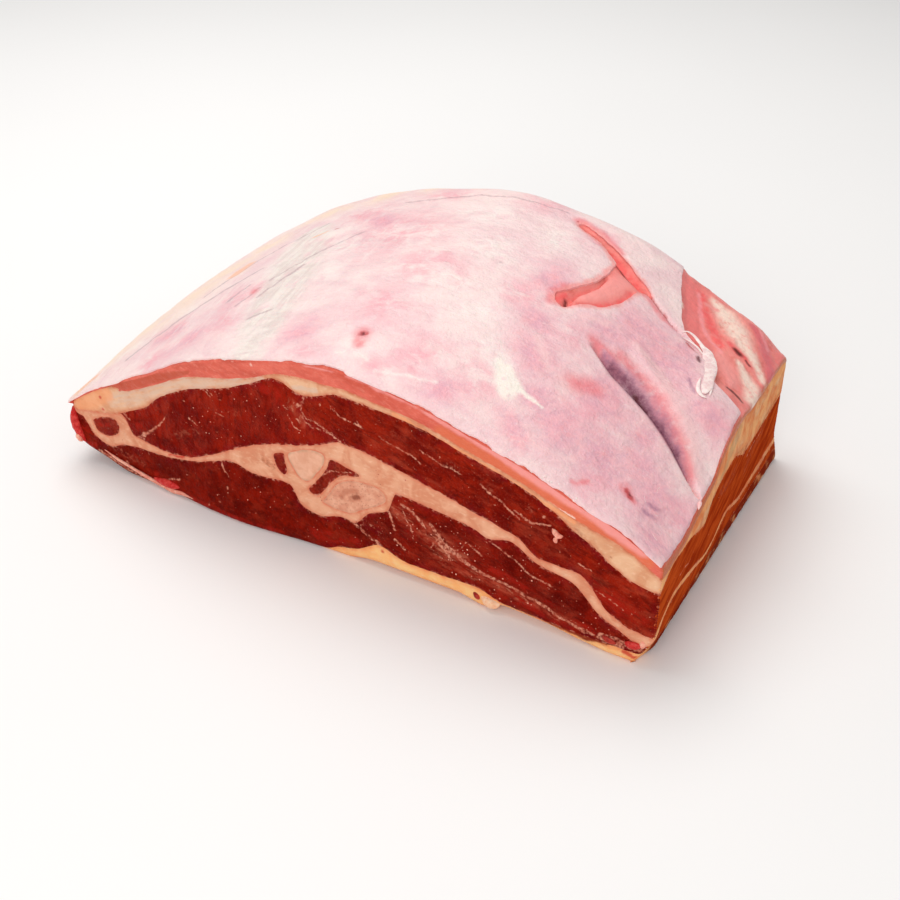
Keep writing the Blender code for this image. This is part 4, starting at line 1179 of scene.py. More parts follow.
# %% [markdown]
# What each cut shows is written per piece and per mark, as lines of two places and a half width
# in mm: X and height on the front cut, Y and height on the right cut.
# %% Marks of each layer
SPLIT_FAT = "-7.8 69 .35, -9.8 61.4 .35, -7.5 58 .4, -.8 57.1 .4, 3.2 55 .45, 7.4 52.3 .5"
LOWER_SPLIT_FAT = "9.6 18.2 .9, 16.2 14.6 .7, 21 12.4 .8, 23 10.5 1"
MARKS = {
    "upper_muscle_left": {
        "front fat": SPLIT_FAT + "; " + """
            -77 37.4 .3, -80.5 32.1 .5, -86.6 26.7 .7, -93.9 21.4 .8; -100.5 31.9 .9,
            -96.7 29.2 .6; -90 24.5 1.2, -92 20.5 1.2; -55.6 57.4 .35, -53.1 54 .4; -54.2 57.4 .35,
            -51.4 55 .3; -64.9 40.3 .5, -61.2 38.3 .4; -66.3 47.7 .45; -47.4 53.6 .5;
            -50.5 46.9 .25, -46.6 46.4 .3; -11.4 62.6 1, -7.4 65.6 .8; -16 57.5 .35, -13.4 53.6 .3,
            -10.4 52.2 .3; -17.6 61 .3, -15.2 59.6 .25; -12 57 .3, -10.4 55.4 .3""",
        "front web": "-14 63 2.4, -10 59 2.6, -9 55 1.6",
        "front fresh": "-58 61 1.4, -40 66.4 1.5, -20 65 2.2; -92 27 2.5; -20 60 4, -14 55 3",
        "front dull": "-40 50 2; -72 30 2, -60 36 1.5",
    },
    "upper_muscle_right": {
        "front fat": SPLIT_FAT + "; " + """
            -.6 66.4 .7; 14.2 63 .8, 17.1 62.3 .6; 15.2 64.4 .4, 16 61 .3; 4 66.5 .3, 8 64 .4,
            12 63.4 .3; 24 61 .3, 30 58.4 .4, 37 57.5 .3, 41 54.6 .3; 41 61 .3, 49 57.4 .35,
            53 57.2 .5, 56.9 56 .3; 64.8 54.6 .4, 72.6 50.3 .55, 80.4 45.5 .4; 78.4 48.2 .5,
            84.2 46.1 .6, 91.7 47.3 .4; 89.7 49.9 .7; 103 35.6 .4, 108 33.8 .3; 110 26.4 .3,
            120 22.8 .3; 123.1 21.5 .6""",
        "right fat": "27 30 .4, 37 31 .3, 47 30 .3; -50 27 .4, -38 25 .3",
        "front fresh": "100 33 3.5, 114 26 4, 126 21 4",
        "right fresh": "-70 22 4, -66 18 3",
        "front dull": "52.2 59.4 1.6, 56 58 1.4; 68.7 53.9 1.6; 30 64 1.5; 84 51 1.4",
        "right dull": "-6 34 3, 10 33 3; 27.7 24 3, 38 27.7 3, 48.2 30 3",
    },
    "lower_muscle_left": {
        "front fat": LOWER_SPLIT_FAT + "; " + """
            -102.8 6.4 1; -80.6 6.1 .5, -72.8 8.9 .5; -47.1 14.1 .6; -56.8 3.1 .6; -51.2 6.7 .5;
            -51.5 27.4 1, -50.4 23.1 .5, -46.9 19.5 .3; -52 25 .4, -54.4 22.6 .3; -117.6 7.4 .9,
            -109.9 4.4 1, -102 1.9 .9, -91.5 .7 1, -80.7 .8 1, -73.8 1.6 .8, -67 .8 .4""",
        "front fresh": """
            -84.8 5.6 3, -75 4 3.5; -66.5 1.4 2, -22.2 1.4 2; -125 14 4, -121 9 3; -8 6 3, 12 9 2.4""",
        "front dull": "-110.9 12.3 1.6, -100 10 2, -92.1 8.8 1.4",
    },
    "lower_muscle_right": {
        "front web": """
            28 31 2.6, 36 29 4, 44 25 5, 52 21 5, 58 19 3; 44 15 2.2, 62 14 2.4, 84 11 2, 104 8 1.8""",
        "front fat": LOWER_SPLIT_FAT + "; " + """
            25.8 30 .8, 27.7 27.8 .7, 29.7 21.7 .5; 32.2 34.5 .7, 37.2 32.8 .7, 40.5 30.4 .9,
            42.6 26.7 .5; 33 32 .3, 36 26 .3, 37 20 .25; 44.7 29.7 .7, 48.8 24.5 .8, 53 17 .6;
            48 25 .4, 45 19.5 .3; 48.8 22.2 1.3, 53.8 21 1.7, 57.1 19.6 1.2; 54 21 .5, 58 24.5 .3,
            60 28 .2; 57.1 18.7 .9, 65.4 16.5 .8, 73.5 15.2 .7, 85.6 12.6 .7, 93.5 10.4 .7,
            101.4 7.9 .7, 107.3 6 .6; 69.1 31.5 .4, 77.1 28.4 .5, 85.1 23.3 .5, 94.9 20.6 .4;
            29.5 17 .8, 33.8 14 .6; 60 27 .4, 66 24 .5; 97.5 8.6 .7, 113.4 6.2 .8, 121 5.6 1.2;
            112.9 7.9 1.2, 127.6 7.5 1.5""",
        "right fat": "-35.8 5.8 .9; -66 8 1.2, -60 9 .6",
        "front fresh": """
            73.7 9.8 2.4, 89.7 8.2 2.4, 101.5 6 1.6; 126.4 9 1.4; 36 22 3; 70 20 1.6, 90 14 1.6,
            110 8 1.4""",
        "right fresh": "16.8 6.1 2.4, 24 7.7 2.4, 33 8.4 2",
        "front dull": "53.8 18.7 1.2",
    },
    "cap_layer": {
        "front silver": """
            -106 35 3, -96 40 4, -88.5 45 5, -74.5 51.5 5, -53.3 61 4, -36.5 66 3, -27.1 68 2.4;
            -12 70 1, -2 72 1; 37.9 67.4 1.6, 43.1 67.5 1.6; 60 61 1, 85 53 1""",
        "front orange": "-128 28 5, -118 33 6, -108 38 4; 30 72 1, 70 61.5 1, 100 52 1",
        "front blush": "-111.7 35.1 .9; -111.2 29.5 .9; -100 42 .5, -94 45.4 .4",
        "front dull": """
            100.8 48.1 1.6, 108.2 43.4 1.8; 114 42.5 .8; 50 62.6 .9, 75 55.7 .9, 93 49 1.2""",
        "right dull": """
            -66 37 1.2, -60 40 1.4; -24 33 1.4, -16 38 1.6; 10 40 2, 24 35 2; 40 34 2, 70 34 2""",
        "right glassy": "-8 42 3, .7 49 4, 8 52 3",
    },
    "seam_layer": {
        "front blush": "-78 18.3 .5, -70 20.5 .5; -125 20 1.2",
        "front dull": "-30 33 1.6, -25 30 1.4; 30 36 1.2, 44 31 1.4",
    },
    "floor_layer": {
        "front blush": "24 9 .7; 84 5 .5, 92 4.6 .6; 122 4 1, 126 3 .8",
        "front meaty": "92 4.8 .8, 100 4.4 1.3, 108 4.2 1.4, 115 4.6 1",
        "right meaty": "-60 2 6, 0 2 8, 76 2 8",
    },
    "covering_muscle": {
        "front cream": "-40.3 72.6 .5; -31 74.1 .5; 20 73.2 .5, 60 65.4 .5, 100 53.2 .6",
        "front dried": "-108 43 3.5, -98 46 3.5, -88 50 3, -76 55.5 2, -62 62 .8",
        "front pale": "-24 79.4 .5, 8 82.6 .9, 40 78.4 1.2, 70 70 2.2, 100 59.6 3, 125 49.8 3.2",
        "front orange": "50 70 4, 80 62 4, 100 55 4, 125 46 4",
        "right orange": "-72 44 5, -20 46 5, 10 58 5, 70 54 5",
        "right dark": "39.8 54.5 .6, 29.4 55.5 .8, 19.2 56.5 .8, 12 57 .5",
    },
}


print("marks on the cuts:", sum(len(marks) for marks in MARKS.values()))

# %% [markdown]
# Where the membrane is open, the muscle under it shows cream fat and streaks of red and rose, with
# painted shade in the slit, the pocket and small nicks. These lines are X, Y and half width in mm.
# %% Marks of the open flesh
OPEN_WARP, OPEN_SOFT = 0.0009, (0.25, 1.7)
UNDER_TOP, TOP_START = 0.0005, 0.4
OPEN_FLESH = {
    "muted": "85 66 4, 90 54 4, 98 40 4, 106 35 3",
    "blush": """
        54 54 .9, 60 50 1.5, 67 45.4 1.6, 75 41 1.2; 54.6 6.5 1.4, 55 11.5 1.2; 62 10.3 1.2,
        68 16.6 1.8, 71.5 25 1.8, 72.8 34 1.2; 90.4 65.4 1.6, 97.4 54 2.2, 101.8 49.6 2.6,
        108.2 41.6 2.2; 110.5 46.7 1.6, 114 45.5 2.6, 118.9 45.1 1.8, 122.3 44.4 1.3, 126.3 41.5 1""",
    "cream": """
        96.5 66.5 2.2, 103.5 62.5 5, 108.6 58.2 5.6, 113.5 53 4.3, 118.5 50 2.9, 123 46 1.9,
        126.5 41.5 1.6; 117.6 39 1.7, 121 36 2.9, 125 32.6 3.6, 128.5 26 3.8; 88.4 49.6 1,
        89.4 47 .8""",
    "pale": """
        62 15 3, 64.5 22 4, 66.5 30 4.4, 68 37 4.4; 99 62 1.2, 94.6 61 1.2; 111 35 3, 115 31.5 3.6,
        118.5 28 3, 119.5 24.5 2""",
    "rose": "113 69 1.6, 118 65 2.6, 122 59.6 2.8, 126 53.5 2.2, 128 47 1.3",
    "lilac": """
        89.9 64 .8, 92.3 59 .9, 98.9 46 .9, 104.8 40.8 .8, 110.3 37.6 .8; 116 70 .7, 121.5 63 .8""",
    # dark: painted shade under the membrane's edge along the slit, in the pocket and in small nicks.
    "dark": """
        113.4 45.4 1.1, 115.2 44.6 1.2; 118.1 44 .5, 120.1 43.6 .6; 119.3 20.2 .8, 122.5 19.6 1,
        125.8 18.5 .8; 44 58 .5, 52 53.8 .6, 58 49 .6, 66.9 42.6 .7, 73 40 .8, 76.4 39.2 .7;
        58 5.2 .4, 56.4 9.6 .7; 105 29.6 .8, 106.8 27.6 1""",
}


def top_marks(places, points):
    """Colours of the covering muscle where the membrane is open."""
    u, v = places[:, 0], places[:, 1]
    on_top = (points[:, 2] > sheet_bottom(u, v) + UNDER_TOP) & (v > TOP_START)
    found = {
        mark: marked(points, on_top, ALONG_TOP, paths(lines), warp=OPEN_WARP, soft=OPEN_SOFT)
        for mark, lines in OPEN_FLESH.items()
    }
    return {**found, "topside": on_top.astype(float)}


# %% [markdown]
# One function makes a layer: its faces, its marks, the swelling of its cut faces and a fine
# roughness. The right cut has dried, so it carries a mark of its own.
# %% Muscles and fat
BULGE, BULGE_REACH = 0.00022, 0.0016
ROUGHNESS_HEIGHT, ROUGHNESS_EDGE = 0.00014, 0.0008
ROUGHNESS_LUMPS, ROUGHNESS_SEED = 0.0034, 61
cut_surfaces = {}


def right_cut(places):
    """1 on the right cut, which has dried and turned browner than the front."""
    return (places[:, 0] >= HALF_LENGTH - SAME_POINT).astype(float)


def add_layer(name, low, high, material, node, left=-HALF_LENGTH, right=HALF_LENGTH,
              holes=None, more=None, tunnels=(), flecks=1.0):
    """One layer of the joint, dressed from its two height lines."""
    faces = layer_faces(low, high, left, right, holes, more) + list(tunnels)
    places, triangles, rim = joined(faces)
    points = shaped(*places.T)
    marks = {"rim": rim, "flecks": np.full(len(rim), flecks), "aged": right_cut(places)}
    add_marks(marks, MARKS.get(name, {}), places, points)
    swell = BULGE * (1 - np.exp(-rim / BULGE_REACH))
    fine = rough_lumps(points, ROUGHNESS_LUMPS, ROUGHNESS_SEED) * ramp(rim, 0, ROUGHNESS_EDGE)
    points = pushed_out(points, places, swell + ROUGHNESS_HEIGHT * fine)
    cut_surfaces[name] = points, triangles
    if name == "covering_muscle":
        for mark, values in top_marks(places, points).items():
            marks[mark] = np.maximum(marks.get(mark, 0), values)
    return add_object(name, points, triangles, material, marks, (node,))


# %% [markdown]
# Bones and the small muscles beside them lie in holes through the seam of fat. An outline is
# drawn with about ten points, rounded by a closed spline, and carried back through the joint. The
# seam is filled around the same outline, so that neither stands in the other.
# %% Outlines in the seam
OUTLINE_POINTS = 110
OUTLINE_WOBBLE, OUTLINE_LUMPS = 0.00025, 0.0028
SEAM_PIECES = {
    "cartilage": """
        -17.2 39.2, -11.5 42.8, -5.5 44.7, -1.2 44, -1.2 40.5, -4.5 35, -8.5 30.2, -11.8 30,
        -16 34.5""",
    "marrow_bone": """
        -1 25, 4 32.5, 9.5 36.2, 16 37.7, 23.5 37.2, 25.8 33.5, 22.5 29.8, 15.5 25.5, 10 21.8,
        3 21.3, -2.2 22.5""",
    "seam_lean_small": "-24.5 36.5, -19.8 38.8, -19.2 35.5, -18.6 31.5, -20 28.8, -22.8 30.5",
    "seam_lean_large": """
        2.2 43.2, 8.2 42.2, 14.2 40.8, 13.2 39.4, 7 37.8, 2.2 33.5, -1.8 28, -5.2 24.5, -8.6 26.2,
        -5.2 30.8, -.4 37.5""",
    "eye_lean": """
        -118.5 21.8, -113.5 25, -107 26.5, -104.2 24, -105.5 19.5, -110.5 16.7, -116.2 17.2""",
}


def closed_spline(points, count):
    """A closed smooth line through the points, in this many steps."""
    where = np.arange(count) * len(points) / count
    i, t = where.astype(int), (where % 1)[:, None]
    a, b, c, d = (points[(i + n) % len(points)] for n in (-1, 0, 1, 2))
    curved = (2 * a - 5 * b + 4 * c - d) * t**2 + (3 * b - a - 3 * c + d) * t**3
    return 0.5 * (2 * b + (c - a) * t + curved)


def rounded(outline):
    """A closed spline through an outline in mm, anticlockwise, with a slight wobble."""
    ring = closed_spline(in_mm(outline)[::-1], OUTLINE_POINTS)
    shift = OUTLINE_WOBBLE * lumps(np.insert(ring, 2, 0, axis=1), OUTLINE_LUMPS, 71)
    away = ring - ring.mean(axis=0)
    return ring + away / np.linalg.norm(away, axis=1)[:, None] * shift[:, None]


def carried_ring(ring, v):
    """An outline of the front cut, carried back to share v of the depth."""
    x, z = ring.T
    share = (z - under(x, 0)) / (crown(x, 0) - under(x, 0))
    return np.stack([x, under(x, v) + share * (crown(x, v) - under(x, v))], axis=1)


def quads(index):
    """Triangles between the rows of a grid whose rows close on themselves."""
    a, b = index[:-1], np.roll(index[:-1], -1, axis=1)
    c, d = np.roll(index[1:], -1, axis=1), index[1:]
    return np.concatenate([np.stack([a, b, c], -1), np.stack([a, c, d], -1)]).reshape(-1, 3)


def tunnel(ring, turn):
    """The wall around an outline, seen from inside the joint (-1) or from the piece (1)."""
    rows = np.linspace(0, 1, END_ROWS)
    points = np.concatenate([np.insert(carried_ring(ring, v), 1, v, axis=1) for v in rows])
    faces = quads(np.arange(len(points)).reshape(len(rows), len(ring)))[:, [0, 2, 1]]
    return points, faces[:, ::turn], np.zeros(len(points))


rings = {name: rounded(outline) for name, outline in SEAM_PIECES.items()}
print("outlines in the seam:", len(rings))

# %% Pieces in the seam
SEAM_FLECKS = 0.6
SEAM_LOOKS = {
    "cartilage": (pale_cartilage, "cartilage", {}),
    "marrow_bone": (sawn_bone, "bone", {
        "front marrow": "6.4 27.6 1, 8.6 31.2 1.3, 13.4 32.8 1.3; 11 28.4 1.6, 14 30.4 1.6",
        "front dark": "12 29.4 1, 13.6 30.6 .9",
    }),
    "seam_lean_small": (seam_lean, "lean", {}),
    "seam_lean_large": (seam_lean, "lean", {
        "front fat": "-5.1 33.2 .25, 1.9 38.4 .3, 11 40.7 .25",
    }),
    "eye_lean": (seam_lean, "lean", {"front fresh": "-115 21 1, -107 23.5 1"}),
}
for name, (material, slot, lines) in SEAM_LOOKS.items():
    faces = [tunnel(rings[name], 1)]
    for v, step, turn in ((0.0, CUT_STEP, 1), (1.0, BACK_STEP, -1)):
        flat, triangles, rim = fill(carried_ring(rings[name], v), step)
        faces.append((np.insert(flat, 1, v, axis=1), triangles[:, ::turn], rim))
    places, triangles, rim = joined(faces)
    points = shaped(*places.T)
    marks = {"rim": rim, "flecks": np.full(len(rim), SEAM_FLECKS)}
    add_marks(marks, lines, places, points)
    points = pushed_out(points, places, BULGE * (1 - np.exp(-rim / BULGE_REACH)))
    add_object(name + "_cut", points, triangles, material, marks, (name,))

# %% Layers
add_layer("seam_layer", seam_bottom, seam_top, seam_fat, "fat_seam",
          holes=lambda v: [carried_ring(ring, v) for ring in rings.values()],
          tunnels=[tunnel(ring, -1) for ring in rings.values()])
add_layer("cap_layer", cap_bottom, sheet_bottom, cap_fat, "fat_cap")
add_layer("floor_layer", under, floor_fat_top, floor_fat, "floor_fat", left=floor_fat_end)
add_layer("upper_muscle_left", seam_top, cap_bottom, upper_left_lean, "upper_lean_left",
          left=upper_start, right=upper_split)
add_layer("upper_muscle_right", seam_top, cap_bottom, upper_right_lean, "upper_lean_right",
          left=upper_split)
add_layer("lower_muscle_left", floor_fat_top, seam_bottom, lower_left_lean, "lower_lean_left",
          right=lower_split)
add_layer("lower_muscle_right", floor_fat_top, seam_bottom, lower_right_lean, "lower_lean_right",
          left=lower_split)
add_layer("covering_muscle", sheet_bottom, flesh_top, salmon_muscle, "cover_sheet",
          more=opened_places(), flecks=0.3)


# %% [markdown]
# The membrane is a piece of its own, 0.7 mm thick. Its outline follows the edges of the top, but
# leaves out the torn corner, and has openings at the slit and the pocket, so its torn edges are
# real edges. Fine triangles over the whole top carry its waves and folds.
# %% Outline of the membrane
TORN_START = 0.552
MOUTH_POINTS, MOUTH_WOBBLE, MOUTH_LUMPS = 420, 0.0006, 0.0045
LEAST_SHRINK, SIDE_SHRINK = 0.0005, 0.0012
front_edge = smooth_line("""
    -133 .1, -106 .2, -95 1, -62 1.5, -40 1.1, -24 .2, -14 1, 6 1.3, 14 .5, 40 1, 70 .8, 100 1,
    133 .3""")


def opening():
    """The outline of the opened fold, in u and depth."""
    ring = closed_spline(in_mm(MOUTH), MOUTH_POINTS)
    spots = np.insert(ring, 2, 0, axis=1)
    shift = [rough_lumps(spots, MOUTH_LUMPS, seed) for seed in (81, 84)]
    ring += MOUTH_WOBBLE * np.stack(shift, 1)
    v = (ring[:, 1] - FRONT_Y) / DEPTH
    u = ring[:, 0] + inset_at(ring[:, 0], v, crown(ring[:, 0], v))
    return np.stack([u, ring[:, 1] - FRONT_Y], 1)


def membrane_outline():
    """The edge of the membrane, in u and depth, anticlockwise."""
    left, right, far = SIDE_SHRINK - HALF_LENGTH, HALF_LENGTH - SIDE_SHRINK, DEPTH - SIDE_SHRINK
    along = np.arange(left, right, CUT_STEP)
    shrunk = np.maximum(front_edge(along) + wobble(along, 0.0009, 43), LEAST_SHRINK)
    up = np.arange(shrunk[-1] + CUT_STEP, TORN_START * DEPTH, CUT_STEP)
    torn_rows = np.arange(TORN_START * DEPTH, far, CUT_STEP)
    torn = np.minimum(torn_edge(FRONT_Y + torn_rows), right - CUT_STEP / 2)
    back = np.arange(torn[-1] - CUT_STEP, left, -CUT_STEP)
    down = np.arange(far, shrunk[0] + CUT_STEP, -CUT_STEP)
    return np.concatenate([
        np.stack([along, shrunk], 1),
        np.stack([right + wobble(up, 0.0003, 45), up], 1),
        np.stack([torn, torn_rows], 1),
        np.stack([back, far + wobble(back, 0.0005, 47)], 1),
        np.stack([left + wobble(down, 0.0004, 49), down], 1),
    ])


print("points along the membrane's edge:", len(membrane_outline()))

# %% Faces of the membrane
TOP_STEP = 0.00085


def membrane_faces():
    """Outer face, inner face and the edges between them."""
    outline, holes = membrane_outline(), [opening()]
    sides = (TOP_STEP, 0.0, 1, None), (WALL_STEP, MEMBRANE, -1, opened_places())
    faces = []
    for step, lower, turn, more in sides:
        flat, triangles, rim = fill(outline, step, holes, more)
        u, v = flat[:, 0], flat[:, 1] / DEPTH
        points = np.stack([u, v, skin(u, v) - lower], 1)
        faces.append((points, triangles[:, ::turn], rim))
    for ring in (outline, *[hole[::-1] for hole in holes]):
        ring = tidy_ring(ring)
        u, v = ring[:, 0], ring[:, 1] / DEPTH
        z, n = skin(u, v), len(ring)
        wall = np.concatenate([np.stack([u, v, z - MEMBRANE], 1), np.stack([u, v, z], 1)])
        i, j = np.arange(n), (np.arange(n) + 1) % n
        triangles = np.concatenate([np.stack([i, j, j + n], 1), np.stack([i, j + n, i + n], 1)])
        faces.append((wall, triangles, np.zeros(2 * n)))
    return joined(faces)


places, triangles, rim = membrane_faces()
points = shaped(*places.T)
print("triangles of the membrane:", len(triangles))

# %% [markdown]
# The membrane's broad colours are round patches of X, Y and radius in mm, and its finer marks are
# lines of X, Y and half width. Each mark fades between its own two shares of the half width.
# %% Tints of the membrane
TINTS = {
    "rosy": """
        -23.6 20.5 20, 4.1 -2.4 16, 1.1 -33.4 12, 28.3 -50.2 12, 49.7 -52.5 10, -11.9 -66.6 6,
        20 -63.4 6, -50 40 12, 55 55 8, 90 -25 8, -70 -30 10, -62 -50 9, -85 -62 8, 42 0 9,
        104 -3 6, 113 -12 5, 90 12 7, 70 -5 8, 88 -38 8, 102 -62 8, 125 -45 8, 126 -5 8, -20 60 10,
        20 66 10""",
    "lilac": """
        83.9 -50.9 14, 99.1 -50.5 13, 117.8 -49.5 14, 110.6 -42 12, 88.5 -28.3 12, 108 -27.9 12,
        72.9 -44.5 10, 62 -24 12, 85 20 15, 77 5 13, 48 14 10, -95 -45 8, -74 -55 8, 100 10 13,
        -60 5 7, -20 -55 7, 120 -5 10, 125 -62 9, 70 -62 9, 98 22 9, -40 30 8, 44 -62 7, 54 -8 9""",
    "milky": """
        -44.9 -64.6 7, -42 -54 9, -46 -40 9, -33.5 -15.7 10, -42 5 10, -100 -25 7, -66 -5 10,
        -60 20 9, 50 -38 8, 34 -20 9, 20 20 12, 6 45 12, -110 -50 6, 6 -60 6, 16 -10 8, 40 40 9,
        66 24 7""",
    "cream": """
        -127 -62 9, -124 -48 12, -122 -30 17, -116 -10 17, -110 10 15, -102 34 13, -84 56 12,
        -60 68 10, -36 74 8, -12 76 4""",
    "fan": "-120 -50 45, -110 0 50, -80 -30 40, -60 10 42, -42 -34 24, -30 16 28, -90 40 34",
}
TOP_LINES = {
    "ivory": """
        53.6 -38 2, 57.6 -43.6 3.6, 61.5 -48.4 3.6; 57 -39.6 2.4, 64 -45.4 2.4; 64 -45 1.3,
        70 -46.2 .8, 75 -46 .6""",
    "milky": """
        40 -32 .6, 52 -37 .7, 58 -39 .7; 2 -63.5 .8, 8 -62 1, 14 -63 .7; 20 -66 .8, 40 -60 .8""",
    "pink": """
        86 8 1.5, 97.6 2.6 2.2, 108.4 -6.8 2.6, 117.3 -13.6 2.4, 123.5 -19.5 1.8, 127.6 -26 1.2;
        74 8 1.4, 66 4 1.6; 60 -20 2, 68 -28 1.6""",
    "ashen": "-33 -71 7, -38 -56 9, -45 -37 11, -52 -16 12, -62 5 11, -72 28 8",
    "blush": """
        5.4 -52 3, 7.4 -57 2; 84 -2.6 2.6, 93.8 -6.1 3.4, 101.7 -9.6 3.6, 109.4 -14.7 3.2,
        116.3 -19.6 2.8, 122.7 -25.1 2.2; 53 3 2, 51.5 9 2, 53 15 2; 110.8 -52.6 2,
        113.6 -54.6 1.4; 79 -28 3.8, 84.5 -25.4 3.4; 75 -4 2.6, 82 -6 2.8, 88 -9.6 2; 96 -66 .8,
        100 -61 .7; -62 -28 1.6; 76 38 1.8, 84 34 1.2, 92 31 1.2; 36 63 2.4, 48 61.4 1.6, 60 54 1.4""",
    "blood": """
        5.4 -52.2 1.2, 6.8 -51.4 .9; 98.8 28.9 .7, 102.4 27 .9; -58.7 25.9 .9; 111 -52.4 .9,
        112.6 -54.2 .9; 78.6 39.2 .7, 84.3 36.1 .7, 90.9 32.7 .6; 36 61.6 .7""",
    "grey": """
        -72.5 -32 .9, -70 -22 .7; -108 -58 .6, -100 -42 .8, -92 -28 .8, -82 -16 .8, -74 -6 .6;
        -50 -48 .6, -42 -42 .6; -57 -33 .6, -51 -10 .7; -64 -38 .6, -61 -26 .5; 114.6 -52.6 .7;
        -60 -20 .5, -50 4 .6, -40 20 .5; -97 -20 .5, -86 10 .6, -70 36 .6; -40 52 .6, -10 62 .6,
        30 66 .5; 27 12 .8""",
    "orange": "-93 -4 3, -91 5 3; -128 -68 3, -124 -62 2.5; -66 20 1.2, -63 24 1",
    # fold, deep and dark are painted shade: in the crease, its small folds, the nicks and small
    # hollows.
    "fold": """
        79.3 -6.6 1.4, 85.8 -8.8 2.6, 90.4 -10 3.4, 94 -11.2 3.6, 97.7 -12.8 3.3, 102.2 -14.2 2.9,
        106.8 -16.2 2.6, 111 -18.5 2.3, 115.9 -22.2 2, 120.3 -25.8 1.6, 123.2 -28.6 1;
        118.6 -50.6 .8, 121 -49.6 .8; 119 -55 .9, 121.4 -53.6 .8; 108 8 .8, 112 2 .8""",
    "deep": """
        83 -7.8 .9, 87 -9.4 1.4, 90.4 -10.5 1.7, 94 -11.8 1.9, 97.7 -13.2 1.8, 102.2 -14.8 1.6,
        106.8 -16.8 1.5, 111 -19.1 1.4, 117 -23.6 1.3, 122 -27.6 1""",
    "dark": """
        5.8 -51.9 .8; 112.2 -52.8 .5; 104.6 24.2 .9, 106.6 21.8 .9; 94.6 -12.6 .7, 97.7 -14 .8,
        101 -15 .6""",
}


SOFT_TINTS = {
    "blush": (0.0, 2.0), "fold": (0.1, 1.9), "milky": (0.1, 1.8), "ivory": (0.5, 1.3),
    "deep": (0.1, 1.7), "pink": (0.0, 1.8), "torn": (0.2, 2.6), "ashen": (0.6, 1.3),
}
TOP_SOFT, TOP_WARP = (0.4, 1.4), 0.0012
TORN_WIDTH = 0.9
TINT_WARP, TINT_LUMPS, TINT_SEED = 0.006, 0.018, 91


def tinted(points, spots):
    """Soft round patches of tint, bent by noise."""
    bent = bent_by_noise(points, TINT_WARP, TINT_LUMPS, TINT_SEED)
    total = np.zeros(len(points))
    for x, y, radius in in_mm(spots):
        apart = np.hypot(bent[:, 0] - x, bent[:, 1] - y) / radius
        total = np.maximum(total, np.exp(-(apart**2)))
    return total


top_tints = {mark: tinted(points, spots) for mark, spots in TINTS.items()}
everywhere = np.ones(len(points), bool)
top_lines = {mark: paths(lines) for mark, lines in TOP_LINES.items()}
top_lines["torn"] = [[(x, y, TORN_WIDTH) for x, y in path(MOUTH) + path(MOUTH)[:1]]]
for mark, lines in top_lines.items():
    soft = SOFT_TINTS.get(mark, TOP_SOFT)
    found = marked(points, everywhere, ALONG_TOP, lines, warp=TOP_WARP, soft=soft)
    top_tints[mark] = np.maximum(top_tints.get(mark, 0), found)
add_object("membrane", points, triangles, membrane_skin, top_tints)
cut_surfaces["membrane"] = points, triangles

# %% [markdown]
# Some small things stand clear of the layers: a curl of white fascia at the torn edge, a fold of
# membrane at the end of the crease, wet scraps of lean at the left tip, and scraps of fat that
# the saw dragged along. Each is a rounded strip along a few points, a little sunk in.
# %% Materials of the small pieces
SCRAP_LOOKS = {
    "white fascia": ((250, 226, 222), (255, 240, 234), (236, 196, 196), 0.3, 0.3, 0.0001),
    "thin wet tissue": ((238, 206, 204), (250, 232, 226), (226, 178, 182), 0.3, 0.3, 0.0001),
    "crumb of cream fat": ((255, 200, 160), (255, 214, 180), (240, 158, 120), 0.4, 0.15),
    "wet scrap of lean": ((200, 34, 32), (224, 70, 62), (150, 14, 14), 0.25, 0.2),
    "dark scrap of lean": ((150, 30, 24), (190, 60, 46), (96, 10, 10), 0.35, 0.15),
    "pink crumb of fat": ((240, 150, 128), (250, 184, 160), (214, 96, 84), 0.35, 0.2),
    "fold of the membrane": ((246, 188, 186), (252, 210, 204), (232, 160, 164), 0.35, 0.2),
}


def scrap_finish(name, body, light, patch, roughness, gloss, rough=0.0004):
    """A small wet scrap: a soft body colour with lighter and darker patches."""
    finish = Finish(name)
    finish.colour = finish.blend(finish.patches(0.40, 0.62, 0.0022, 4, warp=0.6), body, light)
    fine = finish.grain(0.0007, 3, offset=0.4)
    finish.tint(patch, finish.step(fine, 0.52, 0.70), 0.5)
    finish.relief((finish.grain(0.0012, 4), rough), (fine, rough / 4))
    return finish.done(roughness, gloss=gloss, scatter=0.05)


fascia, tissue, cream_crumb, wet_scrap, dark_scrap, pink_fat, pink_fold = (
    scrap_finish(name, *look) for name, look in SCRAP_LOOKS.items())

# %% A strip along a path
STRIP_SIDES, STRIP_STEP, LEAST_ROWS = 16, 0.0005, 12
STRIP_END = 0.985
PATH_SMOOTHING = 3
STRIP_LUMPS = 0.0022


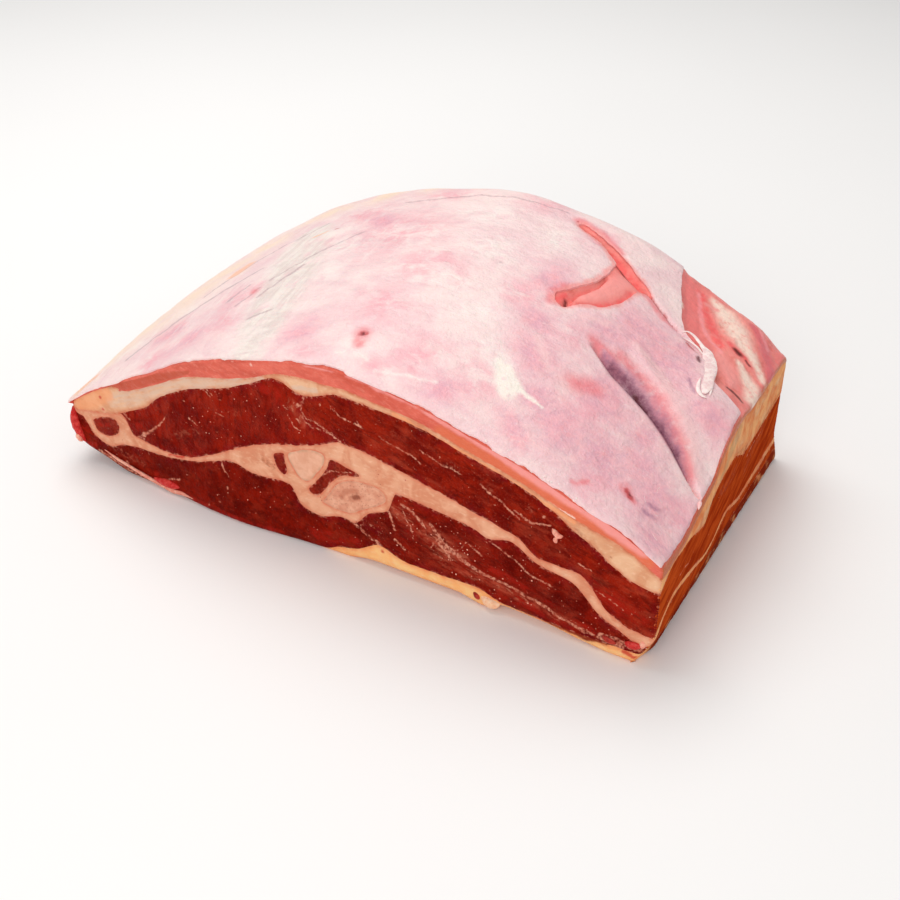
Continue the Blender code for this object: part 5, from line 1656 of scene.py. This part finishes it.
def add_strip(name, line, up, material, flat, uneven, seed):
    """A closed rounded strip along points of X, Y, Z and half width."""
    lengths = np.linalg.norm(np.diff(line[:, :3], axis=0), axis=1)
    at = np.concatenate([[0], np.cumsum(lengths)])
    rows = max(int(at[-1] / STRIP_STEP), LEAST_ROWS)
    s = STRIP_END * np.sin(np.linspace(-math.pi / 2, math.pi / 2, rows))
    where = (s / STRIP_END + 1) / 2 * at[-1]
    centre = np.stack([np.interp(where, at, line[:, k]) for k in range(4)], 1)
    for _ in range(PATH_SMOOTHING):
        centre[1:-1] = (centre[:-2] + 2 * centre[1:-1] + centre[2:]) / 4
    along = np.gradient(centre[:, :3], axis=0)
    along /= np.linalg.norm(along, axis=1)[:, None] + 1e-12
    side = np.cross(along, np.array(up, float))
    side /= np.linalg.norm(side, axis=1)[:, None]
    lift = np.cross(side, along)
    angle = np.linspace(0, 2 * math.pi, STRIP_SIDES, endpoint=False)[:, None]
    radius = (centre[:, 3] * (1 - s**4) ** 0.5)[:, None, None]
    ring = (side[:, None] * np.cos(angle) + flat * lift[:, None] * np.sin(angle)) * radius
    body = (centre[:, None, :3] + ring).reshape(-1, 3)
    body += ring.reshape(-1, 3) * (uneven * rough_lumps(body, STRIP_LUMPS, seed))[:, None]
    points = np.concatenate([body, centre[:1, :3], centre[-1:, :3]])
    index = np.arange(len(body)).reshape(rows, STRIP_SIDES)
    first, last = index[0], index[-1]
    start = np.stack([np.roll(first, -1), first, np.full(STRIP_SIDES, len(body))], 1)
    stop = np.stack([last, np.roll(last, -1), np.full(STRIP_SIDES, len(body) + 1)], 1)
    faces = np.concatenate([quads(index), start, stop])
    corners = points[faces]
    volume = np.einsum("ij,ij->i", corners[:, 0], np.cross(corners[:, 1], corners[:, 2])).sum()
    return add_object(name, points, faces if volume > 0 else faces[:, ::-1], material)


# %% [markdown]
# Strips on the top are given by X, Y and half width, and laid on the membrane at a small height.
# %% Curl and fold on the top
TOP_SCRAPS = {
    "fascia_scrap": (tissue, 0.25, 0.14, 0.06, 7, """
        103 32 .9, 106.5 30.4 1.8, 109.4 26 2.6, 111.6 20 3.1, 113.2 14 2.3, 114.8 8 2.9,
        115.8 3.4 2"""),
    "fascia_edge_left": (fascia, 0.4, 0.45, 0.08, 3, """
        111.4 11 .3, 112.2 6.4 .7, 113.4 3 .9, 115.4 1.4 .8, 117.4 2 .6"""),
    "fascia_edge_right": (fascia, 0.4, 0.45, 0.08, 4, """
        104 32.6 .5, 108 31 .8, 111.6 26.6 .5, 114 20 .7, 115.4 14 .4, 116.8 8 .7, 117.8 4 .5"""),
    "fascia_edge_arm": (fascia, 0.4, 0.45, 0.08, 5, """
        95.4 32.4 .3, 96.8 34.6 .6, 99.4 34.8 .6, 102.4 33 .8, 106.4 31 .6"""),
    "fascia_edge_thread": (fascia, 0.4, 0.45, 0.08, 6, """
        96.4 30.6 .3, 99 31 .4, 103 30 .5, 106.4 28 .4"""),
    "membrane_lip": (pink_fold, 0.1, 0.6, 0.22, 7, """
        122.8 -26.4 .4, 125 -28.3 1, 128.2 -30.4 1.1, 130.2 -33 1, 130.9 -36 .5"""),
}


def top_place(x, y, lift):
    """A point on the membrane at x and y in mm, lifted by some mm."""
    v = np.array([(y * MM - FRONT_Y) / DEPTH])
    u = np.array([x * MM])
    u = u + inset_at(u, v, crown(u, v))
    return x, y, float(skin(u, v)[0]) / MM + lift


for name, (material, lift, flat, uneven, seed, line) in TOP_SCRAPS.items():
    line = [(*top_place(x, y, lift), width) for x, y, width in path(line)]
    add_strip(name, np.array(line) * MM, (0, 0, 1), material, flat, uneven, seed)

# %% [markdown]
# Scraps at the edges of the front cut are given by X, Y, Z and half width.
# %% Scraps at the front
SCRAP_UNEVEN, FIRST_SCRAP_SEED = 0.22, 11
SCRAPS = {
    "tip_scrap_front": (wet_scrap, "lean", 0.8, """
        -130.6 -70.2 24.6 1, -129.9 -71 21.5 1.8, -129.4 -71.6 18 2.3, -128.3 -71.9 14.8 2.1,
        -126.6 -72.2 12 1.8, -124.6 -72.2 9.6 1.2"""),
    "tip_scrap_back": (dark_scrap, "lean", 0.8, """
        -130.8 -68.4 22.6 1.3, -130.4 -67.6 18.4 1.8, -129.6 -67 14.6 1.5"""),
    "tip_scrap_pale": (pink_fat, "lean", 0.8, """
        -128.2 -73.2 13.2 1, -126.8 -73.5 11.4 1.4, -125.4 -73.2 10.2 1"""),
    "crumb_front": (pink_fat, "fat", 0.7, """
        92.6 -72 46.6 .8, 93.8 -72.3 45.2 1.3, 95.2 -72.4 44.2 1.2, 96.6 -72.1 45 .8"""),
    "crumb_front_small": (pink_fat, "fat", 0.7, """
        94.4 -72.2 43.6 .8, 94 -72.4 42.2 .9, 94.6 -72.1 41.2 .5"""),
    "corner_scrap_red": (wet_scrap, "lean", 0.6, """
        122 -71.9 8.6 1.2, 124.2 -72.2 8.4 1.8, 126.6 -72 8.8 1.6, 128 -71.6 9.6 .9"""),
    "corner_scrap_dark": (dark_scrap, "lean", 0.6, """
        113.6 -71.9 7.8 .8, 116.2 -72.2 7 1.3, 119 -72 6.6 .8"""),
    "corner_crumb": (pink_fat, "fat", 0.8, """
        128 -70.9 12.8 .8, 128.6 -71.2 10.6 1.3, 128 -71.4 8.2 1.1"""),
    "edge_fringe": (pink_fat, "fat", 0.7, """
        -115 -71.7 8.6 .5, -108 -72.1 6.4 .8, -98 -72.3 4.2 .7, -91 -72.6 3 .9, -84 -72.9 2 .8,
        -77 -73.4 1.5 1.2, -72 -73.8 2.4 1, -66 -74.2 2.2 .5"""),
    "edge_flap": (wet_scrap, "lean", 0.7, """
        -88 -72.6 4 .8, -83 -72.8 3.9 1.7, -78 -73.2 4.4 2.1, -73.4 -73.5 4.8 1"""),
    "floor_nub": (cream_crumb, "fat", 0.8, """
        65.6 -71.2 5 1.2, 68.4 -71.8 3.8 2, 71.2 -71.8 3.4 1.8, 73.6 -71.4 4.4 1"""),
    "floor_nub_red": (dark_scrap, "lean", 0.7, """
        62.6 -71.4 5.8 .7, 64.2 -71.8 4.4 1.2, 65.2 -71.9 3.4 .8"""),
}
for seed, (name, (material, slot, flat, line)) in enumerate(SCRAPS.items(), FIRST_SCRAP_SEED):
    add_strip(name, in_mm(line), (0, -1, 0), material, flat, SCRAP_UNEVEN, seed)

# %% [markdown]
# Crumbs from the saw, pale beads of moisture along the membrane's front edge, and loose white fibres
# on the membrane are many small copies on a surface. The beads are pale and opaque, so they are
# also painted highlights where the wet edge glints. Geometry Nodes place them: points are spread
# over chosen triangles, a small shape is put on each, and the copies are made real.
# %% A tree that scatters
def scatter_tree(name, values, material, shape):
    """A node tree that puts copies of a small shape on a surface, and its named inputs."""
    tree = bpy.data.node_groups.new(name, "GeometryNodeTree")
    sockets = {}
    for label, value in {"Surface": None, **values}.items():
        kind = {type(None): "Geometry", int: "Int", float: "Float"}[type(value)]
        sockets[label] = tree.interface.new_socket(
            label, in_out="INPUT", socket_type="NodeSocket" + kind)
    tree.interface.new_socket("Pieces", in_out="OUTPUT", socket_type="NodeSocketGeometry")
    given = tree.nodes.new("NodeGroupInput").outputs
    spread = add_node(tree, "GeometryNodeDistributePointsOnFaces", {
        "Mesh": given["Surface"], "Density": given["Density"], "Seed": given["Seed"]})
    limits = {2: given["Smallest"], 3: given["Largest"], "Seed": given["Seed"]}
    size = add_node(tree, "FunctionNodeRandomValue", limits)[1]
    thin = add_node(tree, "ShaderNodeMath", {0: size, 1: given["Flatness"]}, operation="MULTIPLY")
    scale = add_node(tree, "ShaderNodeCombineXYZ", {"X": size, "Y": size, "Z": thin[0]})
    angle = add_node(tree, "FunctionNodeRandomValue", {3: given["Spin"]}, data_type="FLOAT")[1]
    spin = add_node(tree, "FunctionNodeAxisAngleToRotation", {"Axis": (0, 0, 1), "Angle": angle})
    turned = add_node(tree, "FunctionNodeRotateRotation", {
        "Rotation": spread["Rotation"], "Rotate By": spin[0]}, rotation_space="LOCAL")
    copies = add_node(tree, "GeometryNodeInstanceOnPoints", {
        "Points": spread["Points"], "Instance": shape(tree), "Rotation": turned[0], "Scale": scale[0]})
    real = add_node(tree, "GeometryNodeRealizeInstances", {0: copies[0]})
    painted = add_node(tree, "GeometryNodeSetMaterial", {"Geometry": real[0], "Material": material})
    add_node(tree, "NodeGroupOutput", {0: painted[0]})
    return tree, sockets


# %% Small shapes
HAIR_START, HAIR_MIDDLE, HAIR_END = (-0.5, 0, 0), (0.05, 0.22, 0.05), (0.5, -0.04, 0)
HAIR_RADIUS = 0.020


def grain_shape(tree):
    """A ball of eighty faces, one unit across its radius."""
    return add_node(tree, "GeometryNodeMeshIcoSphere", {"Radius": 1.0, "Subdivisions": 2})["Mesh"]


def hair_shape(tree):
    """A short bent fibre, one unit long."""
    bend = add_node(tree, "GeometryNodeCurveQuadraticBezier", {
        "Resolution": 7, "Start": HAIR_START, "Middle": HAIR_MIDDLE, "End": HAIR_END})
    tip = add_node(tree, "GeometryNodeCurvePrimitiveCircle", {"Resolution": 5, "Radius": HAIR_RADIUS})
    return add_node(tree, "GeometryNodeCurveToMesh", {
        "Curve": bend[0], "Profile Curve": tip[0], "Fill Caps": True})[0]


# %% Running the tree
def scatter(name, surface, values, material, slot, shape=grain_shape):
    """Runs the tree on some triangles and keeps the result as a plain piece."""
    points, triangles = surface
    used, index = np.unique(triangles, return_inverse=True)
    base = bpy.data.meshes.new(name + " surface")
    base.from_pydata(points[used].tolist(), [], index.reshape(-1, 3).tolist())
    holder = bpy.data.objects.new(name + " surface", base)
    bpy.context.scene.collection.objects.link(holder)
    tree, sockets = scatter_tree(name, values, material, shape)
    modifier = holder.modifiers.new(name, "NODES")
    modifier.node_group = tree
    for label, value in values.items():
        modifier[sockets[label].identifier] = value
    graph = bpy.context.evaluated_depsgraph_get()
    made = bpy.data.meshes.new_from_object(holder.evaluated_get(graph))
    holder.modifiers.remove(modifier)
    bpy.data.objects.remove(holder)
    places = np.empty(len(made.vertices) * 3)
    made.vertices.foreach_get("co", places)
    made.calc_loop_triangles()
    faces = np.empty(len(made.loop_triangles) * 3, np.int32)
    made.loop_triangles.foreach_get("vertices", faces)
    bpy.data.meshes.remove(made)
    return add_object(name, places.reshape(-1, 3), faces.reshape(-1, 3), material)


def beaded_edge(x, y):
    """Whether points in mm lie on the wet front edge, whose pale beads are painted highlights."""
    line = "60 -70.6 .7, 70 -70.6 1.2, 84 -70.4 1.3, 98 -70.4 .9, 104 -70.4 .5"
    return line_distance(np.stack([x, y], 1) * MM, path(line)) < 1


# %% Crumbs, beads and fibres
FULL_TURN, FIBRE_TURN = 6.28, 1.2
FRONT_CUT = -71
LABELS = ("Density", "Seed", "Smallest", "Largest", "Flatness", "Spin")
SCATTERED = {
    "fat_crumbs_right": (
        "lower_muscle_right", lambda x, y, z: (y < FRONT_CUT) & (z > 6), pink_fat, "fat",
        (26000.0, 3, 0.00012, 0.00034, 0.6, FULL_TURN)),
    "fat_crumbs_left": (
        "upper_muscle_left", lambda x, y, z: (y < FRONT_CUT) & (x > -70) & (z > 34), pink_fat, "fat",
        (14000.0, 5, 0.00010, 0.00028, 0.6, FULL_TURN)),
    "fat_crumbs_low": (
        "lower_muscle_left", lambda x, y, z: y < FRONT_CUT, pink_fat, "fat",
        (9000.0, 8, 0.00010, 0.00028, 0.6, FULL_TURN)),
    "lean_crumbs_seam": (
        "seam_layer", lambda x, y, z: y < FRONT_CUT, dark_scrap, "lean",
        (7000.0, 13, 0.00010, 0.00026, 0.5, FULL_TURN)),
    # pale opaque beads: moisture, and painted highlights where the wet edge glints
    "moisture_and_glint_beads": (
        "membrane", lambda x, y, z: beaded_edge(x, y), tissue, "membrane",
        (340000.0, 21, 0.00010, 0.00050, 0.5, FULL_TURN)),
    "loose_fibres": (
        "membrane", lambda x, y, z: (z > 40) & (x < 125) & (y > -66), fascia, "membrane",
        (1400.0, 34, 0.0012, 0.0030, 1.0, FIBRE_TURN), hair_shape),
}
for name, (surface, keep, material, slot, values, *shape) in SCATTERED.items():
    points, triangles = cut_surfaces[surface]
    kept = triangles[keep(*(points[triangles].mean(axis=1) / MM).T)]
    scatter(name, (points, kept), dict(zip(LABELS, values)), material, slot, *shape)


# %% [markdown]
# The joint lies on a plain pale floor under soft light: a broad lamp above and behind, a weaker
# one in front, and an even sky. Soft light keeps the wet surface from breaking into hard spots.
# %% Floor
FLOOR_HALF = 2.0


def add_floor():
    """A plain pale floor."""
    mesh = bpy.data.meshes.new("floor")
    corners = [(FLOOR_HALF * x, FLOOR_HALF * y, 0) for x, y in ((-1, -1), (1, -1), (1, 1), (-1, 1))]
    mesh.from_pydata(corners, [], [(0, 1, 2, 3)])
    finish = Finish("pale floor")
    finish.colour = finish.blend(finish.grain(0.4, 2), (244, 243, 242), (250, 249, 248))
    mesh.materials.append(finish.done(0.9, gloss=0.1))
    floor = bpy.data.objects.new("floor", mesh)
    bpy.context.scene.collection.objects.link(floor)


add_floor()

# %% Light
LAMP_AIM = Vector((0, 0, 0.04))
SKY_STRENGTH = 0.42


def add_lamp(name, place, size, watts, colour):
    """A square softbox that faces the joint."""
    lamp = bpy.data.lights.new(name, "AREA")
    lamp.shape = "SQUARE"
    lamp.size, lamp.energy, lamp.color = size, watts, colour
    holder = bpy.data.objects.new(name, lamp)
    holder.location = place
    holder.rotation_euler = (LAMP_AIM - Vector(place)).to_track_quat("-Z", "Y").to_euler()
    bpy.context.scene.collection.objects.link(holder)
    print(name, watts, "W")


add_lamp("broad lamp", (-0.35, 0.25, 1.0), 0.9, 7.6, (1, 0.985, 0.97))
add_lamp("front lamp", (0.25, -0.95, 0.55), 0.6, 4.6, (1, 0.98, 0.96))
sky = bpy.data.worlds.new("even sky")
sky.use_nodes = True
set_inputs(sky.node_tree.nodes["Background"], {"Color": (1, 1, 1, 1), "Strength": SKY_STRENGTH})
bpy.context.scene.world = sky
bpy.context.scene.view_settings.view_transform = "Standard"
